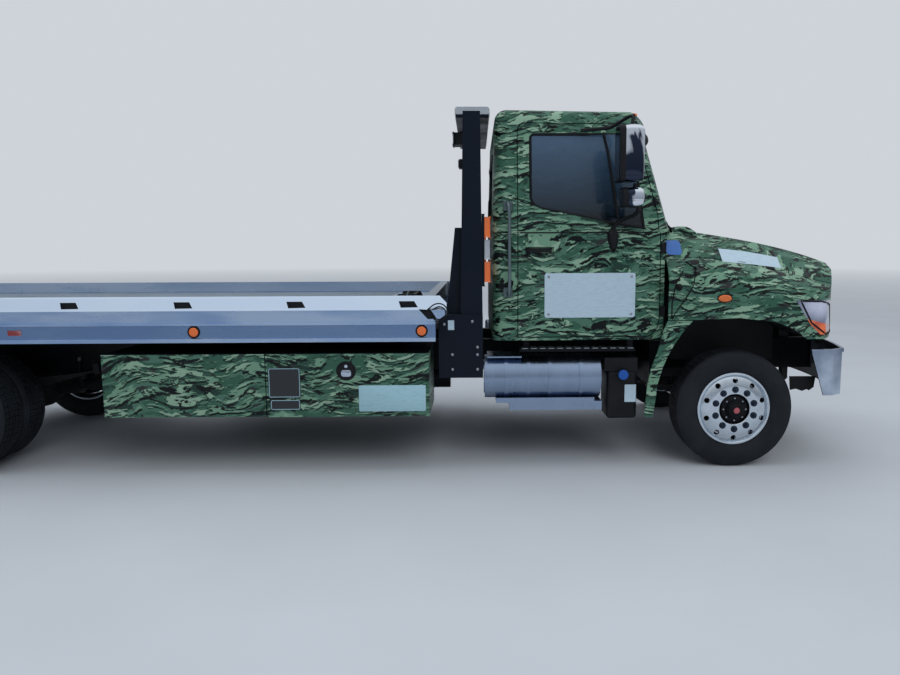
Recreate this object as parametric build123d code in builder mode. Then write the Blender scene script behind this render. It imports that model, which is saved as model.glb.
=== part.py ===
from build123d import *
from math import hypot
import os

# A rollback tow truck with a conventional cab, in millimetres.
# X runs forward, Y to the truck's left and Z up from the ground.
# Lengthwise stations are measured from the front axle, and the helpers below set them
# in the part's frame, whose origin lies on the ground under the middle of the truck.
BUMPER_FRONT = 950.0
CROSSBAR_BACK = -8807.0
FRONT_AXLE = -(BUMPER_FRONT + CROSSBAR_BACK) / 2
WHEELBASE = 5512.0
REAR = -WHEELBASE
FIT = 0.3
CUT = 1.0
REACH_Y = 1300.0

# Wheels and tyres
TYRE_RADIUS = 419.0
WHEEL_Z = TYRE_RADIUS
BEAD_RADIUS = 247.0
BEAD_WIDTH = 186.0
FLANGE_RADIUS = 260.5
FLANGE_WALL = 9.0
RIM_WALL = 11.0
DISC_WALL = 18.0
HAND_HOLES = 10
HAND_HOLE_RADIUS = 31.0
HAND_HOLE_CIRCLE = 181.0
HUB_RADIUS = 108.0
HUB_BARREL = 82.0
HUB_CAP = 55.0
BRAKE_DRUM = 200.0
FRONT_SPINDLE = 35.0
REAR_SPINDLE = 44.0
FRONT_TRACK = 1970.0
REAR_TRACK = 1850.0
DUAL_SPACING = 279.0
FRONT_DISC_OUT = 118.0

# Steering
KINGPIN_Y = 865.0
KINGPIN_RADIUS = 20.0
ARM_X, ARM_Y = -190.0, 845.0
ARM_Z = (304.0, 330.0)
TIE_Z = 348.0
TIE_PIN = 14.0

# Frame
RAIL_OUT = 425.0
RAIL_FLANGE = 75.0
RAIL_WEB = 8.0
RAIL_BOTTOM = 610.0
RAIL_TOP = 850.0
RAIL_FRONT = 820.0
RAIL_BACK = -7950.0
CROSS_HALF = RAIL_OUT - RAIL_WEB
CROSS_WALL = 12.0

# Cab
CAB_BACK = -1720.0
CAB_FRONT = -505.0
CAB_BOTTOM = 915.0
CAB_HALF = 1040.0
CAB_CORNER = 90.0
BELT = 1673.0
CAB_TOP = 2535.0
CAB_WALL = 45.0
CAB_FLOOR = 60.0
SHUT_GAP = 6.0
GLASS = 6.0
GLASS_DEPTH = 16.0
DOOR_BACK, DOOR_TOP, DOOR_BOTTOM = -1545.0, 2440.0, 935.0
PULL_DEPTH = 20.0
SEAT_FLOOR = CAB_BOTTOM + CAB_FLOOR

# Hood
HOOD_WALL = 12.0
HOOD_HALF = 1120.0
HOOD_BOTTOM = 920.0
NOSE_FRONT = 905.0
HOOD_HINGE = (850.0, 890.0)
HINGE_Y = (404.0, 424.0)
HINGE_PIN = 10.0
COWL_GAP = 14.0
LINER_WALL = 12.0
GRILLE_BARS = 6

# Bumper
BUMPER_HALF = 1108.0
BUMPER_BOTTOM, BUMPER_TOP, BUMPER_WALL = 515.0, 847.0, 10.0
LIP_HEIGHT, LIP_DEPTH = 26.0, 8.0

# Bed
BED_FRONT = -2120.0
BED_BEND = -8150.0
BED_BACK = -8500.0
BED_RAIL_NOSE = -2038.0
BED_HALF = 1219.0
BED_RAIL_IN = 1141.0
BED_RAIL_TOP = 1243.0
DECK_TOP = 1140.0
DECK_WALL = 20.0
DECK_STEP = 2.0
DECK_HEAD = -2600.0
RUNNER_Y = (320.0, 400.0)
BED_CROSS_PITCH = 381.0
BED_CROSSES = 16
SLOT_PITCH = 762.0
SLOTS = 8
LAMP_PITCH = 1544.0
LAMPS = 4

# Tilting subframe and its cylinders
TILT_HINGE = (-7900.0, 880.0)
SUB_Y = (330.0, 410.0)
SUBFRAME_BOTTOM = 856.0
SUBFRAME_TOP = 985.0
RUNNER_BOTTOM = 990.0
LUG_PIN = 20.0
CYLINDER_BASE = (-4700.0, 700.0)
CYL_Y = 230.0
EYE = (-3500.0, 900.0)
SLIDE_Z = 941.0
BARREL_BACK, BARREL_FRONT = -6150.0, -2600.0

# Winch
WINCH = (-2396.0, 1100.0)
WINCH_WELL_X = (-2540.0, -2250.0)
WINCH_WELL_Y = 300.0
DRUM_HALF = 190.0
DRUM_SHAFT = 24.0

# Light pylon
POST_Y = (960.0, 1080.0)
PYLON_BASE = (-2100.0, -1790.0)
BAR_X = (-1981.0, -1732.0)
BAR_Z = (2512.0, 2564.0)
BAR_HALF = 820.0
BAR_MODULES = 8
PYLON_TOP = 2488.0

# Wheel lift
LIFT_PIVOT = (-7900.0, 560.0)
LIFT_PIN = 25.0
SWIVEL_X = -8650.0
CROSSBAR_DEPTH = 76.0
SOCKET_Y = 760.0
SOCKET_RADIUS = 22.0

# Toolboxes, exhaust, tanks
BOX_BACK, BOX_SPLIT, BOX_FRONT = -4404.0, -3293.0, -2163.0
BOX_Y = (640.0, 1180.0)
BOX_Z = (411.0, 848.0)
BOX_WALL = 14.0
BOX_DOOR_WALL = 24.0
LATCH = (-2736.0, 728.0)
CAN_Y, CAN_Z, CAN_RADIUS = -960.0, 650.0, 155.0
FUEL_Y, FUEL_Z, FUEL_RADIUS = 790.0, 640.0, 250.0
AIR_Y, AIR_Z, AIR_RADIUS = 250.0, 540.0, 105.0

SIDES = (("left", 1), ("right", -1))
os.makedirs("parts", exist_ok=True)


def at(x, y, z):
    """A point whose X is measured from the front axle."""
    return (FRONT_AXLE + x, y, z)


def both(sign, y0, y1):
    """Two Y limits on one side of the truck, low one first."""
    return sorted((sign * y0, sign * y1))


def block(x, y, z, mode=Mode.ADD):
    """A box between two limits on each axis."""
    with Locations(at((x[0] + x[1]) / 2, (y[0] + y[1]) / 2, (z[0] + z[1]) / 2)):
        Box(abs(x[1] - x[0]), abs(y[1] - y[0]), abs(z[1] - z[0]), mode=mode)


def prism(plane, points, depth, mode=Mode.ADD):
    """An outline drawn on a plane and carried along its normal."""
    with BuildSketch(plane) as outline:
        with BuildLine():
            Polyline(*points, close=True)
        make_face()
    extrude(outline.sketch, amount=depth, dir=plane.z_dir, mode=mode)


def across(points, y0, y1, mode=Mode.ADD):
    """A side view outline of (X, Z) points carried across from y0 to y1."""
    prism(Plane(origin=at(0, y1, 0), x_dir=(1, 0, 0), z_dir=(0, -1, 0)), points, y1 - y0, mode)


def lengthwise(points, x0, x1, mode=Mode.ADD):
    """A front view outline of (Y, Z) points carried from x0 to x1."""
    prism(Plane(origin=at(x0, 0, 0), x_dir=(0, 1, 0), z_dir=(1, 0, 0)), points, x1 - x0, mode)


def upward(points, z0, z1, mode=Mode.ADD):
    """A plan outline of (X, Y) points carried from z0 to z1."""
    prism(Plane(origin=at(0, 0, z0)), points, z1 - z0, mode)


def rod(start, end, radius, mode=Mode.ADD):
    """A round bar between two points, X measured from the front axle."""
    a, b = Vector(*at(*start)), Vector(*at(*end))
    with BuildSketch(Plane(origin=a, z_dir=b - a)) as section:
        Circle(radius)
    extrude(section.sketch, amount=(b - a).length, dir=b - a, mode=mode)


def disc(x, z, radius, y0, y1, mode=Mode.ADD):
    """A round bar lying across the truck."""
    rod((x, y0, z), (x, y1, z), radius, mode)


def mirrored(points):
    """An outline for the right side made from the left one."""
    return [(-y, z) for y, z in reversed(points)]


def raised(points, rise):
    """A side view outline moved up."""
    return [(x, z + rise) for x, z in points]


def revolved(profile, centre_y, x, z, mode=Mode.ADD):
    """A profile of (Y, radius) points turned about a crosswise axle line."""
    plane = Plane(origin=at(x, centre_y, z), x_dir=(0, 1, 0), z_dir=(1, 0, 0))
    with BuildSketch(plane) as section:
        with BuildLine():
            Polyline(*profile, close=True)
        make_face()
    revolve(section.sketch, axis=Axis(at(x, centre_y, z), (0, 1, 0)), mode=mode)


# Frame rails, C sections with the flanges turned inward
rail_section = [
    (RAIL_OUT, RAIL_BOTTOM), (RAIL_OUT, RAIL_TOP), (RAIL_OUT - RAIL_FLANGE, RAIL_TOP),
    (RAIL_OUT - RAIL_FLANGE, RAIL_TOP - RAIL_WEB), (CROSS_HALF, RAIL_TOP - RAIL_WEB),
    (CROSS_HALF, RAIL_BOTTOM + RAIL_WEB), (RAIL_OUT - RAIL_FLANGE, RAIL_BOTTOM + RAIL_WEB),
    (RAIL_OUT - RAIL_FLANGE, RAIL_BOTTOM),
]
with BuildPart() as frame_rails:
    lengthwise(rail_section, RAIL_BACK, RAIL_FRONT)
    mirror(about=Plane.XZ)
frame_rails.part.label = "frame_rails"
export_step(frame_rails.part, "parts/frame_rails.step")

# Crossmembers between the webs, with the bed hinge lugs and the wheel lift hangers
# columns: back X, front X, bottom Z, top Z
cross_table = (
    (740, 800, 640, 760), (-1000, -930, 640, 700), (-1960, -1890, 640, 800),
    (-3300, -3230, 640, 800), (-4840, -4770, 640, 830), (-6400, -6330, 640, 830),
    (-7200, -7130, 640, 830), (-7945, -7855, 640, 842),
)
LUG_X = (-7935.0, -7865.0)
# columns: inner Y of a hinge lug, its bottom Z
lug_table = ((313.0, RAIL_TOP - RAIL_WEB), (412.0, RAIL_TOP))
LUG_WALL = 13.0
CLEVIS = [(-4790, 640), (-4790, 800), (-4700, 740), (-4665, 700), (-4700, 650)]
CLEVIS_Y = (170.0, 270.0)
CLEVIS_WALL = 14.0
HANGER = [(-7945, 842), (-7855, 842), (-7855, 540), (-7880, 515), (-7920, 515), (-7945, 540)]
HANGER_Y = (100.0, 120.0)
with BuildPart() as frame_crossmembers:
    for x0, x1, z0, z1 in cross_table:
        block((x0, x1), (-CROSS_HALF, CROSS_HALF), (z0, z1))
        block((x0 + CROSS_WALL, x1 + CUT), (-CROSS_HALF, CROSS_HALF), (z0 + CROSS_WALL, z1 - CROSS_WALL),
              mode=Mode.SUBTRACT)
    for side, sign in SIDES:
        for y0, bottom in lug_table:
            y = both(sign, y0, y0 + LUG_WALL)
            block(LUG_X, y, (bottom, TILT_HINGE[1]))
            disc(*TILT_HINGE, TILT_HINGE[1] - RAIL_TOP, *y)
        disc(*TILT_HINGE, LUG_PIN, *both(sign, lug_table[0][0], RAIL_OUT))
        for y0 in CLEVIS_Y:
            across(CLEVIS, *both(sign, y0, y0 + CLEVIS_WALL))
        disc(*CYLINDER_BASE, LUG_PIN, *both(sign, CLEVIS_Y[0], CLEVIS_Y[1] + CLEVIS_WALL))
        across(HANGER, *both(sign, *HANGER_Y))
    disc(*LIFT_PIVOT, LIFT_PIN, -HANGER_Y[1], HANGER_Y[1])
frame_crossmembers.part.label = "frame_crossmembers"
export_step(frame_crossmembers.part, "parts/frame_crossmembers.step")


def bumper_plan(inset, z):
    """The bowed outline of the bumper seen from above at one height, drawn in by an inset."""
    half, front, corner = BUMPER_HALF - inset, BUMPER_FRONT - inset, 790.0 - inset
    back, bevel_x, bevel_y = 500.0 - inset, 90.0, 60.0
    with BuildSketch(Plane(origin=at(0, 0, z))) as plan:
        with BuildLine():
            ThreePointArc((corner, bevel_y - half), (front, 0), (corner, half - bevel_y))
            Line((corner, half - bevel_y), (corner - bevel_x, half))
            Polyline((corner - bevel_x, half), (back, half), (back, -half), (corner - bevel_x, -half))
            Line((corner - bevel_x, -half), (corner, bevel_y - half))
        make_face()
    return plan.sketch


# Front bumper, a bowed chrome channel under a raised lip, cut back at its ends
BUMPER_HEIGHT = BUMPER_TOP - BUMPER_BOTTOM
BUMPER_SWEEP = [(400, 900), (530, BUMPER_TOP), (632, BUMPER_BOTTOM), (632, 400), (400, 400)]
BUMPER_OPEN = (400.0, 530.0)
HORN_Y, PLATE_Y, EAR_X = (360.0, 424.0), (340.0, 470.0), (832.0, 868.0)
with BuildPart() as front_bumper:
    extrude(bumper_plan(LIP_DEPTH, BUMPER_BOTTOM), amount=BUMPER_HEIGHT, dir=(0, 0, 1))
    extrude(bumper_plan(0, BUMPER_TOP - LIP_HEIGHT), amount=LIP_HEIGHT, dir=(0, 0, 1))
    extrude(bumper_plan(LIP_DEPTH + BUMPER_WALL, BUMPER_BOTTOM), amount=BUMPER_HEIGHT, dir=(0, 0, 1),
            mode=Mode.SUBTRACT)
    block(BUMPER_OPEN, (-REACH_Y, REACH_Y), (500, 900), mode=Mode.SUBTRACT)
    across(BUMPER_SWEEP, -REACH_Y, REACH_Y, mode=Mode.SUBTRACT)
    for side, sign in SIDES:
        block((RAIL_FRONT, 917), both(sign, *HORN_Y), (640, 800))
        block((RAIL_FRONT, RAIL_FRONT + 8), both(sign, *PLATE_Y), (615, 845))
        block(EAR_X, both(sign, *HINGE_Y), (800, HOOD_HINGE[1]))
        disc(*HOOD_HINGE, 18, *both(sign, *HINGE_Y))
        disc(*HOOD_HINGE, HINGE_PIN, *both(sign, HINGE_Y[0], 456))
front_bumper.part.label = "front_bumper"
export_step(front_bumper.part, "parts/front_bumper.step")

# Engine and gearbox as one plain block
with BuildPart() as engine:
    block((-350, 540), (-280, 280), (700, 1240))
    block((-300, 480), (-190, 190), (500, 700))
    block((-900, -350), (-200, 200), (560, 900))
    for side, sign in SIDES:
        block((-60, 60), both(sign, 280, CROSS_HALF), (720, 800))
engine.part.label = "engine"
export_step(engine.part, "parts/engine.step")

with BuildPart() as radiator:
    block((610, 690), (-345, 345), (640, 1270))
    block((600, 700), (-400, 400), (1230, 1290))
    block((600, 700), (-CROSS_HALF, CROSS_HALF), (618, 660))
radiator.part.label = "radiator"
export_step(radiator.part, "parts/radiator.step")

# The cab's plan at its belt and at its roof
# columns: height, back X, half width at the back, side X and half width at the front, windscreen's middle X
belt_row = (BELT, CAB_BACK, CAB_HALF, -479.0, 985.0, -295.0)
roof_row = (CAB_TOP, CAB_BACK + 22, 909.6, -703.0, 825.0, -500.0)
FRONT_HALF = 1020.0


def cab_plan(z, back, half_back, front_side, half_front, front_mid):
    """One level of the cab seen from above, with its round rear corners and the windscreen as its arc."""
    side_back, end_half, part_way = back + CAB_CORNER, half_back - CAB_CORNER, 0.2929 * CAB_CORNER
    near = (back + part_way, half_back - part_way)
    with BuildSketch(Plane(origin=at(0, 0, z))) as plan:
        with BuildLine():
            Line((front_side, half_front), (side_back, half_back))
            ThreePointArc((side_back, half_back), near, (back, end_half))
            Line((back, end_half), (back, -end_half))
            ThreePointArc((back, -end_half), (near[0], -near[1]), (side_back, -half_back))
            Line((side_back, -half_back), (front_side, -half_front))
            ThreePointArc((front_side, -half_front), (front_mid, 0), (front_side, half_front))
        make_face()
    return plan.sketch


def cab_row(row, side, ends, drop):
    """One row of the cab's plan drawn in at its sides and ends and lowered."""
    z, back, half_back, front_side, half_front, front_mid = row
    return cab_plan(z - drop, back + ends, half_back - side, front_side - ends, half_front - side, front_mid - ends)


def cab_form(side, ends, floor, roof, edge):
    """The cab's closed form, drawn in at its sides, ends, floor and roof."""
    with BuildPart() as form:
        lower = cab_plan(CAB_BOTTOM + floor, CAB_BACK + ends, CAB_HALF - side,
                         CAB_FRONT - ends, FRONT_HALF - side, CAB_FRONT - ends + 1)
        extrude(lower, amount=BELT - CAB_BOTTOM - floor, dir=(0, 0, 1))
        loft([cab_row(belt_row, side, ends, 0), cab_row(roof_row, side, ends, roof)])
        if edge > 0:
            fillet(form.faces().sort_by(Axis.Z)[-1].edges(), edge)
    return form.part


SIDE_SLAB = (-150.0, -100.0, -150.0)
cab_outer = cab_form(0, 0, 0, 0, 80)
cab_inner = cab_form(CAB_WALL, CAB_WALL, CAB_FLOOR, CAB_WALL, 50)
side_core = cab_form(CAB_WALL, *SIDE_SLAB, 0)
glass_out = cab_form(GLASS_DEPTH, GLASS_DEPTH, 0, GLASS_DEPTH, 60)
glass_in = cab_form(GLASS_DEPTH + GLASS, GLASS_DEPTH + GLASS, 0, GLASS_DEPTH + GLASS, 54)
pane_out = cab_form(GLASS_DEPTH, *SIDE_SLAB, 0)
pane_in = cab_form(GLASS_DEPTH + GLASS, *SIDE_SLAB, 0)


def door_outline(gap):
    """The cab door's shut line in side view, drawn in by a gap."""
    back, front, top, bottom = DOOR_BACK + gap, -gap, DOOR_TOP - gap, DOOR_BOTTOM + gap
    return [
        (back, bottom), (back, top - 60), (back + 6, top - 34), (back + 18, top - 16), (back + 36, top - 5),
        (back + 60, top), (front - 716, top), (front - 704, top - 5), (front - 696, top - 18),
        (front - 546, 1800), (front - 533, 1550), (front - 531, 1070), (front - 548, 990), (front - 602, bottom),
    ]


WINDOW = [
    (-1460, 2330), (-1455, 2348), (-1440, 2357), (-720, 2362), (-713, 2352), (-641, 1701), (-901, 1743),
    (-1382, 1840), (-1412, 1852), (-1440, 1872), (-1454, 1892), (-1460, 1916),
]
SCREEN = [(-895, 1715), (895, 1715), (785, 2385), (-785, 2385)]
SCREEN_X = (-900.0, -200.0)
BACK_WINDOW = [(-640, 1800), (640, 1800), (600, 2250), (-600, 2250)]
BACK_X = (-1800.0, -1600.0)
PULL_X, PULL_Z = (-1493.0, -1290.0), (1503.0, 1572.0)
SIDE_Y = (800.0, 1200.0)

with BuildPart() as door_hole:
    across(door_outline(0), *SIDE_Y)
    add(side_core, mode=Mode.SUBTRACT)
    mirror(about=Plane.XZ)

with BuildPart() as cab_shell:
    add(cab_outer)
    add(cab_inner, mode=Mode.SUBTRACT)
    lengthwise(SCREEN, *SCREEN_X, mode=Mode.SUBTRACT)
    lengthwise(BACK_WINDOW, *BACK_X, mode=Mode.SUBTRACT)
    add(door_hole.part, mode=Mode.SUBTRACT)
    for side, sign in SIDES:
        for x in (-1500.0, -700.0):
            block((x - 60, x + 60), both(sign, RAIL_OUT - 75, RAIL_OUT), (RAIL_TOP, CAB_BOTTOM + CUT))
cab_shell.part.label = "cab_shell"
export_step(cab_shell.part, "parts/cab_shell.step")

with BuildPart() as panes:
    lengthwise(SCREEN, *SCREEN_X)
    lengthwise(BACK_WINDOW, *BACK_X)

with BuildPart() as cab_glass:
    add(glass_out)
    add(glass_in, mode=Mode.SUBTRACT)
    add(panes.part, mode=Mode.INTERSECT)
cab_glass.part.label = "cab_glass"
export_step(cab_glass.part, "parts/cab_glass.step")

# Inside of the cab
DASH = [(-550, 1300), (-550, 1640), (-640, 1668), (-760, 1640), (-800, 1560), (-780, 1440), (-700, 1300)]
WHEEL_RING, WHEEL_GRIP, WHEEL_BOSS = 215.0, 16.0, 60.0
SPOKE = (210.0, 26.0, 12.0)
with BuildPart() as dashboard:
    across(DASH, -850, 850)
    rod((-760, 420, 1500), (-960, 420, 1640), 24)
    with Locations(Plane(origin=at(-965, 420, 1645), z_dir=(-200, 0, 140))):
        Torus(WHEEL_RING, WHEEL_GRIP)
        Cylinder(WHEEL_BOSS, 24)
        with PolarLocations(0, 3):
            with Locations((SPOKE[0] / 2 + 5, 0, 0)):
                Box(*SPOKE)
dashboard.part.label = "dashboard"
export_step(dashboard.part, "parts/dashboard.step")

CUSHION = [(-1520, 1290), (-1520, 1400), (-1380, 1430), (-1040, 1450), (-990, 1410), (-1000, 1290)]
BACKREST = [(-1520, 1400), (-1640, 2000), (-1600, 2080), (-1540, 2080), (-1500, 1990), (-1380, 1430)]
PLINTH_X = (-1480.0, -1080.0)
# columns: middle Y, half width
seat_table = ((430, 260), (-360, 430))
with BuildPart() as seats:
    for y, half in seat_table:
        block(PLINTH_X, (y - half + 60, y + half - 60), (SEAT_FLOOR, CUSHION[0][1]))
        across(CUSHION, y - half, y + half)
        across(BACKREST, y - half, y + half)
seats.part.label = "seats"
export_step(seats.part, "parts/seats.step")

# Mirror boxes and the bars that hold them, Y given for the left side
# columns: start, end, radius
mirror_bars = (
    ((-790, 1200, 1960), (-790, 1200, 2000), 14), ((-760, 1200, 1835), (-800, 1150, 1760), 14),
    ((-800, 1150, 1760), (-885, 1030, 1640), 14), ((-780, 1210, 2360), (-800, 1190, 2445), 12),
    ((-800, 1190, 2445), (-900, 954, 2395), 12),
)
FLAT_HEAD = ((-900.0, -724.0), (1130.0, 1320.0), (1995.0, 2368.0))
ROUND_HEAD = ((-868.0, -712.0), (1150.0, 1300.0), (1828.0, 1966.0))
# columns: X limits, Y limits, Z limits
mirror_feet = (((-925, -855), (990, 1044), (1560, 1674)), ((-1120, -890), (900, 960), (2372, 2404)))

# Cab doors: the same skin inside the shut line, with the window cut through
for side, sign in SIDES:
    with BuildPart() as window:
        across(WINDOW, *both(sign, *SIDE_Y))
    with BuildPart() as door:
        across(door_outline(SHUT_GAP), *both(sign, *SIDE_Y))
        add(side_core, mode=Mode.SUBTRACT)
        add(cab_outer, mode=Mode.INTERSECT)
        add(window.part, mode=Mode.SUBTRACT)
        block(PULL_X, both(sign, CAB_HALF - PULL_DEPTH - 4, SIDE_Y[1]), PULL_Z, mode=Mode.SUBTRACT)
    door.part.label = f"door_{side}"
    export_step(door.part, f"parts/door_{side}.step")
    with BuildPart() as door_glass:
        add(pane_out)
        add(pane_in, mode=Mode.SUBTRACT)
        add(window.part, mode=Mode.INTERSECT)
    door_glass.part.label = f"door_glass_{side}"
    export_step(door_glass.part, f"parts/door_glass_{side}.step")
    with BuildPart() as mirror_set:
        block(FLAT_HEAD[0], both(sign, *FLAT_HEAD[1]), FLAT_HEAD[2])
        fillet(mirror_set.edges(), 22)
        block(ROUND_HEAD[0], both(sign, *ROUND_HEAD[1]), ROUND_HEAD[2])
        fillet(mirror_set.edges().filter_by(Axis.Y).group_by(Axis.Z)[0], 30)
        for start, end, radius in mirror_bars:
            rod((start[0], sign * start[1], start[2]), (end[0], sign * end[1], end[2]), radius)
        for x, y, z in mirror_feet:
            block(x, both(sign, *y), z)
        add(cab_outer, mode=Mode.SUBTRACT)
    mirror_set.part.label = f"mirror_{side}"
    export_step(mirror_set.part, f"parts/mirror_{side}.step")

# Hood and fenders as one tilting shell
# columns: station, top at the middle, top edge (Y, Z), crease (Y, Z), shoulder (Y, Z), side (Y, Z)
hood_table = (
    (-495, 1748, 790, 1716, 985, 1490, 1102, 1384, 1120, 1330),
    (0, 1672, 740, 1642, 955, 1464, 1100, 1335, 1119, 1275),
    (487, 1580, 690, 1546, 900, 1360, 1080, 1240, 1104, 1180),
    (960, 1415, 640, 1385, 790, 1262, 990, 1150, 1030, 1080),
)
# half widths of the seam's groove at the same stations
seam_table = (5.0, 5.0, 6.0, 9.0)
TOP_BULGE = (6.0, 8.0)


def hood_section(row, inset):
    """One cross-section of the hood, drawn in by an inset."""
    x, mid, *pairs = row
    edge, crease, shoulder, side = [(pairs[i] - inset, pairs[i + 1] - inset) for i in range(0, 8, 2)]
    swell = ((edge[0] + crease[0]) / 2 + TOP_BULGE[0], (edge[1] + crease[1]) / 2 + TOP_BULGE[1])
    foot = (side[0], HOOD_BOTTOM - 60 - inset)
    with BuildSketch(Plane(origin=at(x - inset, 0, 0), x_dir=(0, 1, 0), z_dir=(1, 0, 0))) as section:
        with BuildLine():
            ThreePointArc((-edge[0], edge[1]), (0, mid - inset), edge)
            ThreePointArc(edge, swell, crease)
            ThreePointArc(crease, shoulder, side)
            Line(side, foot)
            Line(foot, (-foot[0], foot[1]))
            Line((-foot[0], foot[1]), (-side[0], side[1]))
            ThreePointArc((-side[0], side[1]), (-shoulder[0], shoulder[1]), (-crease[0], crease[1]))
            ThreePointArc((-crease[0], crease[1]), (-swell[0], swell[1]), (-edge[0], edge[1]))
        make_face()
    return section.sketch


def seam_section(row, half):
    """A small square on the crease of one hood section."""
    x, crease = row[0], (row[4], row[5])
    with BuildSketch(Plane(origin=at(x, 0, 0), x_dir=(0, 1, 0), z_dir=(1, 0, 0))) as section:
        with Locations(crease):
            Rectangle(2 * half, 2 * half)
    return section.sketch


def nose_plan(inset):
    """The rounded nose seen from above, drawn in by an inset."""
    front, half, turn = NOSE_FRONT - inset, HOOD_HALF + 20 - inset, 590.0
    side, back = (front - 70, 700.0), -800.0
    with BuildSketch(Plane(origin=at(0, 0, HOOD_BOTTOM - 100))) as plan:
        with BuildLine():
            ThreePointArc((turn, -half), (side[0], -side[1]), (front, 0))
            ThreePointArc((front, 0), side, (turn, half))
            Polyline((turn, half), (back, half), (back, -half), (turn, -half))
        make_face()
    return plan.sketch


def hood_form(inset):
    """The closed form of the hood, nose and fenders."""
    edge = NOSE_FRONT - inset
    slope = [(edge - 140, 1560 - inset), (edge - 75, 1405 - inset), (edge - 15, 1300 - inset), (edge + 60, 1190),
             (edge + 60, 1700), (edge - 140, 1700)]
    with BuildPart() as form:
        loft([hood_section(row, inset) for row in hood_table])
        extrude(nose_plan(inset), amount=1100, dir=(0, 0, 1), mode=Mode.INTERSECT)
        across(slope, -REACH_Y, REACH_Y, mode=Mode.SUBTRACT)
    return form.part


hood_outer = hood_form(0)
hood_inner = hood_form(HOOD_WALL)
LENS_INSET, LAMP_DEPTH, LEAF_DEPTH = 4.0, 45.0, 8.0
lamp_outer = hood_form(LENS_INSET)
lamp_inner = hood_form(LAMP_DEPTH)
cowl_cut = cab_form(-COWL_GAP, -COWL_GAP, -100, -100, 0)
ARCH = [(-600, 1062), (-274, 1062), (7, 1074), (255, 1045), (362, 1009), (435, 966), (494, HOOD_BOTTOM)]
UNDERCUT = ARCH + [(1000, HOOD_BOTTOM), (1000, 700), (-600, 700)]
COWL_BUMP = [(-430, 1620), (-408, 1662), (-376, 1712), (-356, 1718), (-296, 1716), (-262, 1702), (-228, 1678),
             (-200, 1620)]
COWL_Y = (560.0, 800.0)
LEAF_CUT = [(-353, 1465), (-296, 1423), (-321, 1306), (-388, 1194), (-468, 1069), (-504, 1083), (-499, 1181),
            (-447, 1320)]
GRILLE = [(-520, 965), (520, 965), (560, 1235), (-560, 1235)]
LAMP_FRONT = [(640, 985), (1000, 950), (1200, 950), (1200, 1195), (1000, 1195), (700, 1160)]
LAMP_SIDE = [(403, 1195), (1000, 1200), (1000, 940), (680, 940), (599, 944), (517, 1022)]
LAMP_X = (350.0, 960.0)
NOSE_X = (700.0, 1000.0)
HOOD_EAR = [(800, 900), (835, 866), (870, 870), (878, 960), (830, 960)]
HOOD_EAR_Y = (430.0, 450.0)

with BuildPart() as lamp_zone:
    lengthwise(LAMP_FRONT, *LAMP_X)
    lengthwise(mirrored(LAMP_FRONT), *LAMP_X)
    across(LAMP_SIDE, -REACH_Y, REACH_Y, mode=Mode.INTERSECT)

with BuildPart() as leaf_zone:
    across(LEAF_CUT, -REACH_Y, REACH_Y)
    block((-600, 0), (-900, 900), (900, 1600), mode=Mode.SUBTRACT)
    add(hood_form(LEAF_DEPTH), mode=Mode.SUBTRACT)

with BuildPart() as seam_groove:
    loft([seam_section(row, half) for row, half in zip(hood_table, seam_table)])
    mirror(about=Plane.XZ)

with BuildPart() as hood_shell:
    add(hood_outer)
    for side, sign in SIDES:
        across(COWL_BUMP, *both(sign, *COWL_Y))
    add(hood_inner, mode=Mode.SUBTRACT)
    add(cowl_cut, mode=Mode.SUBTRACT)
    across(UNDERCUT, -REACH_Y, REACH_Y, mode=Mode.SUBTRACT)
    lengthwise(GRILLE, *NOSE_X, mode=Mode.SUBTRACT)
    add(lamp_zone.part, mode=Mode.SUBTRACT)
    add(leaf_zone.part, mode=Mode.SUBTRACT)
    add(seam_groove.part, mode=Mode.SUBTRACT)
    for side, sign in SIDES:
        across(HOOD_EAR, *both(sign, *HOOD_EAR_Y))
        disc(*HOOD_HINGE, HINGE_PIN + FIT, *both(sign, *HOOD_EAR_Y), mode=Mode.SUBTRACT)
hood_shell.part.label = "hood_shell"
export_step(hood_shell.part, "parts/hood_shell.step")

with BuildPart() as headlamps:
    add(lamp_outer)
    add(lamp_inner, mode=Mode.SUBTRACT)
    add(lamp_zone.part, mode=Mode.INTERSECT)
headlamps.part.label = "headlamps"
export_step(headlamps.part, "parts/headlamps.step")

BAR_PITCH, BAR_OPEN = 41.0, 27.0
with BuildPart() as grille:
    lengthwise(GRILLE, *LAMP_X)
    add(hood_form(6), mode=Mode.INTERSECT)
    add(hood_form(34), mode=Mode.SUBTRACT)
    for i in range(GRILLE_BARS):
        z = GRILLE[0][1] + 20 + i * BAR_PITCH
        lengthwise([(-498, z), (498, z), (502, z + BAR_OPEN), (-502, z + BAR_OPEN)], *NOSE_X, mode=Mode.SUBTRACT)
grille.part.label = "grille"
export_step(grille.part, "parts/grille.step")

# Wheel arch liners that tilt with the hood
LINER_Y, LINER_X = (560.0, 1115.0), (-478.0, 480.0)
liner_low = raised(ARCH, LINER_WALL)
liner_high = raised(ARCH, 2 * LINER_WALL)
LINER_WEB = [(-330, 700), (-330, 1076), (7, 1088), (255, 1060), (362, 1024), (435, 982), (470, 952), (470, 700)]
with BuildPart() as fender_liners:
    across(liner_low + liner_high[::-1], *LINER_Y)
    block(LINER_X, LINER_Y, (800, 1200), mode=Mode.INTERSECT)
    add(hood_form(HOOD_WALL + FIT), mode=Mode.INTERSECT)
    across(LINER_WEB, LINER_Y[0], LINER_Y[0] + 8)
    mirror(about=Plane.XZ)
fender_liners.part.label = "fender_liners"
export_step(fender_liners.part, "parts/fender_liners.step")

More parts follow.
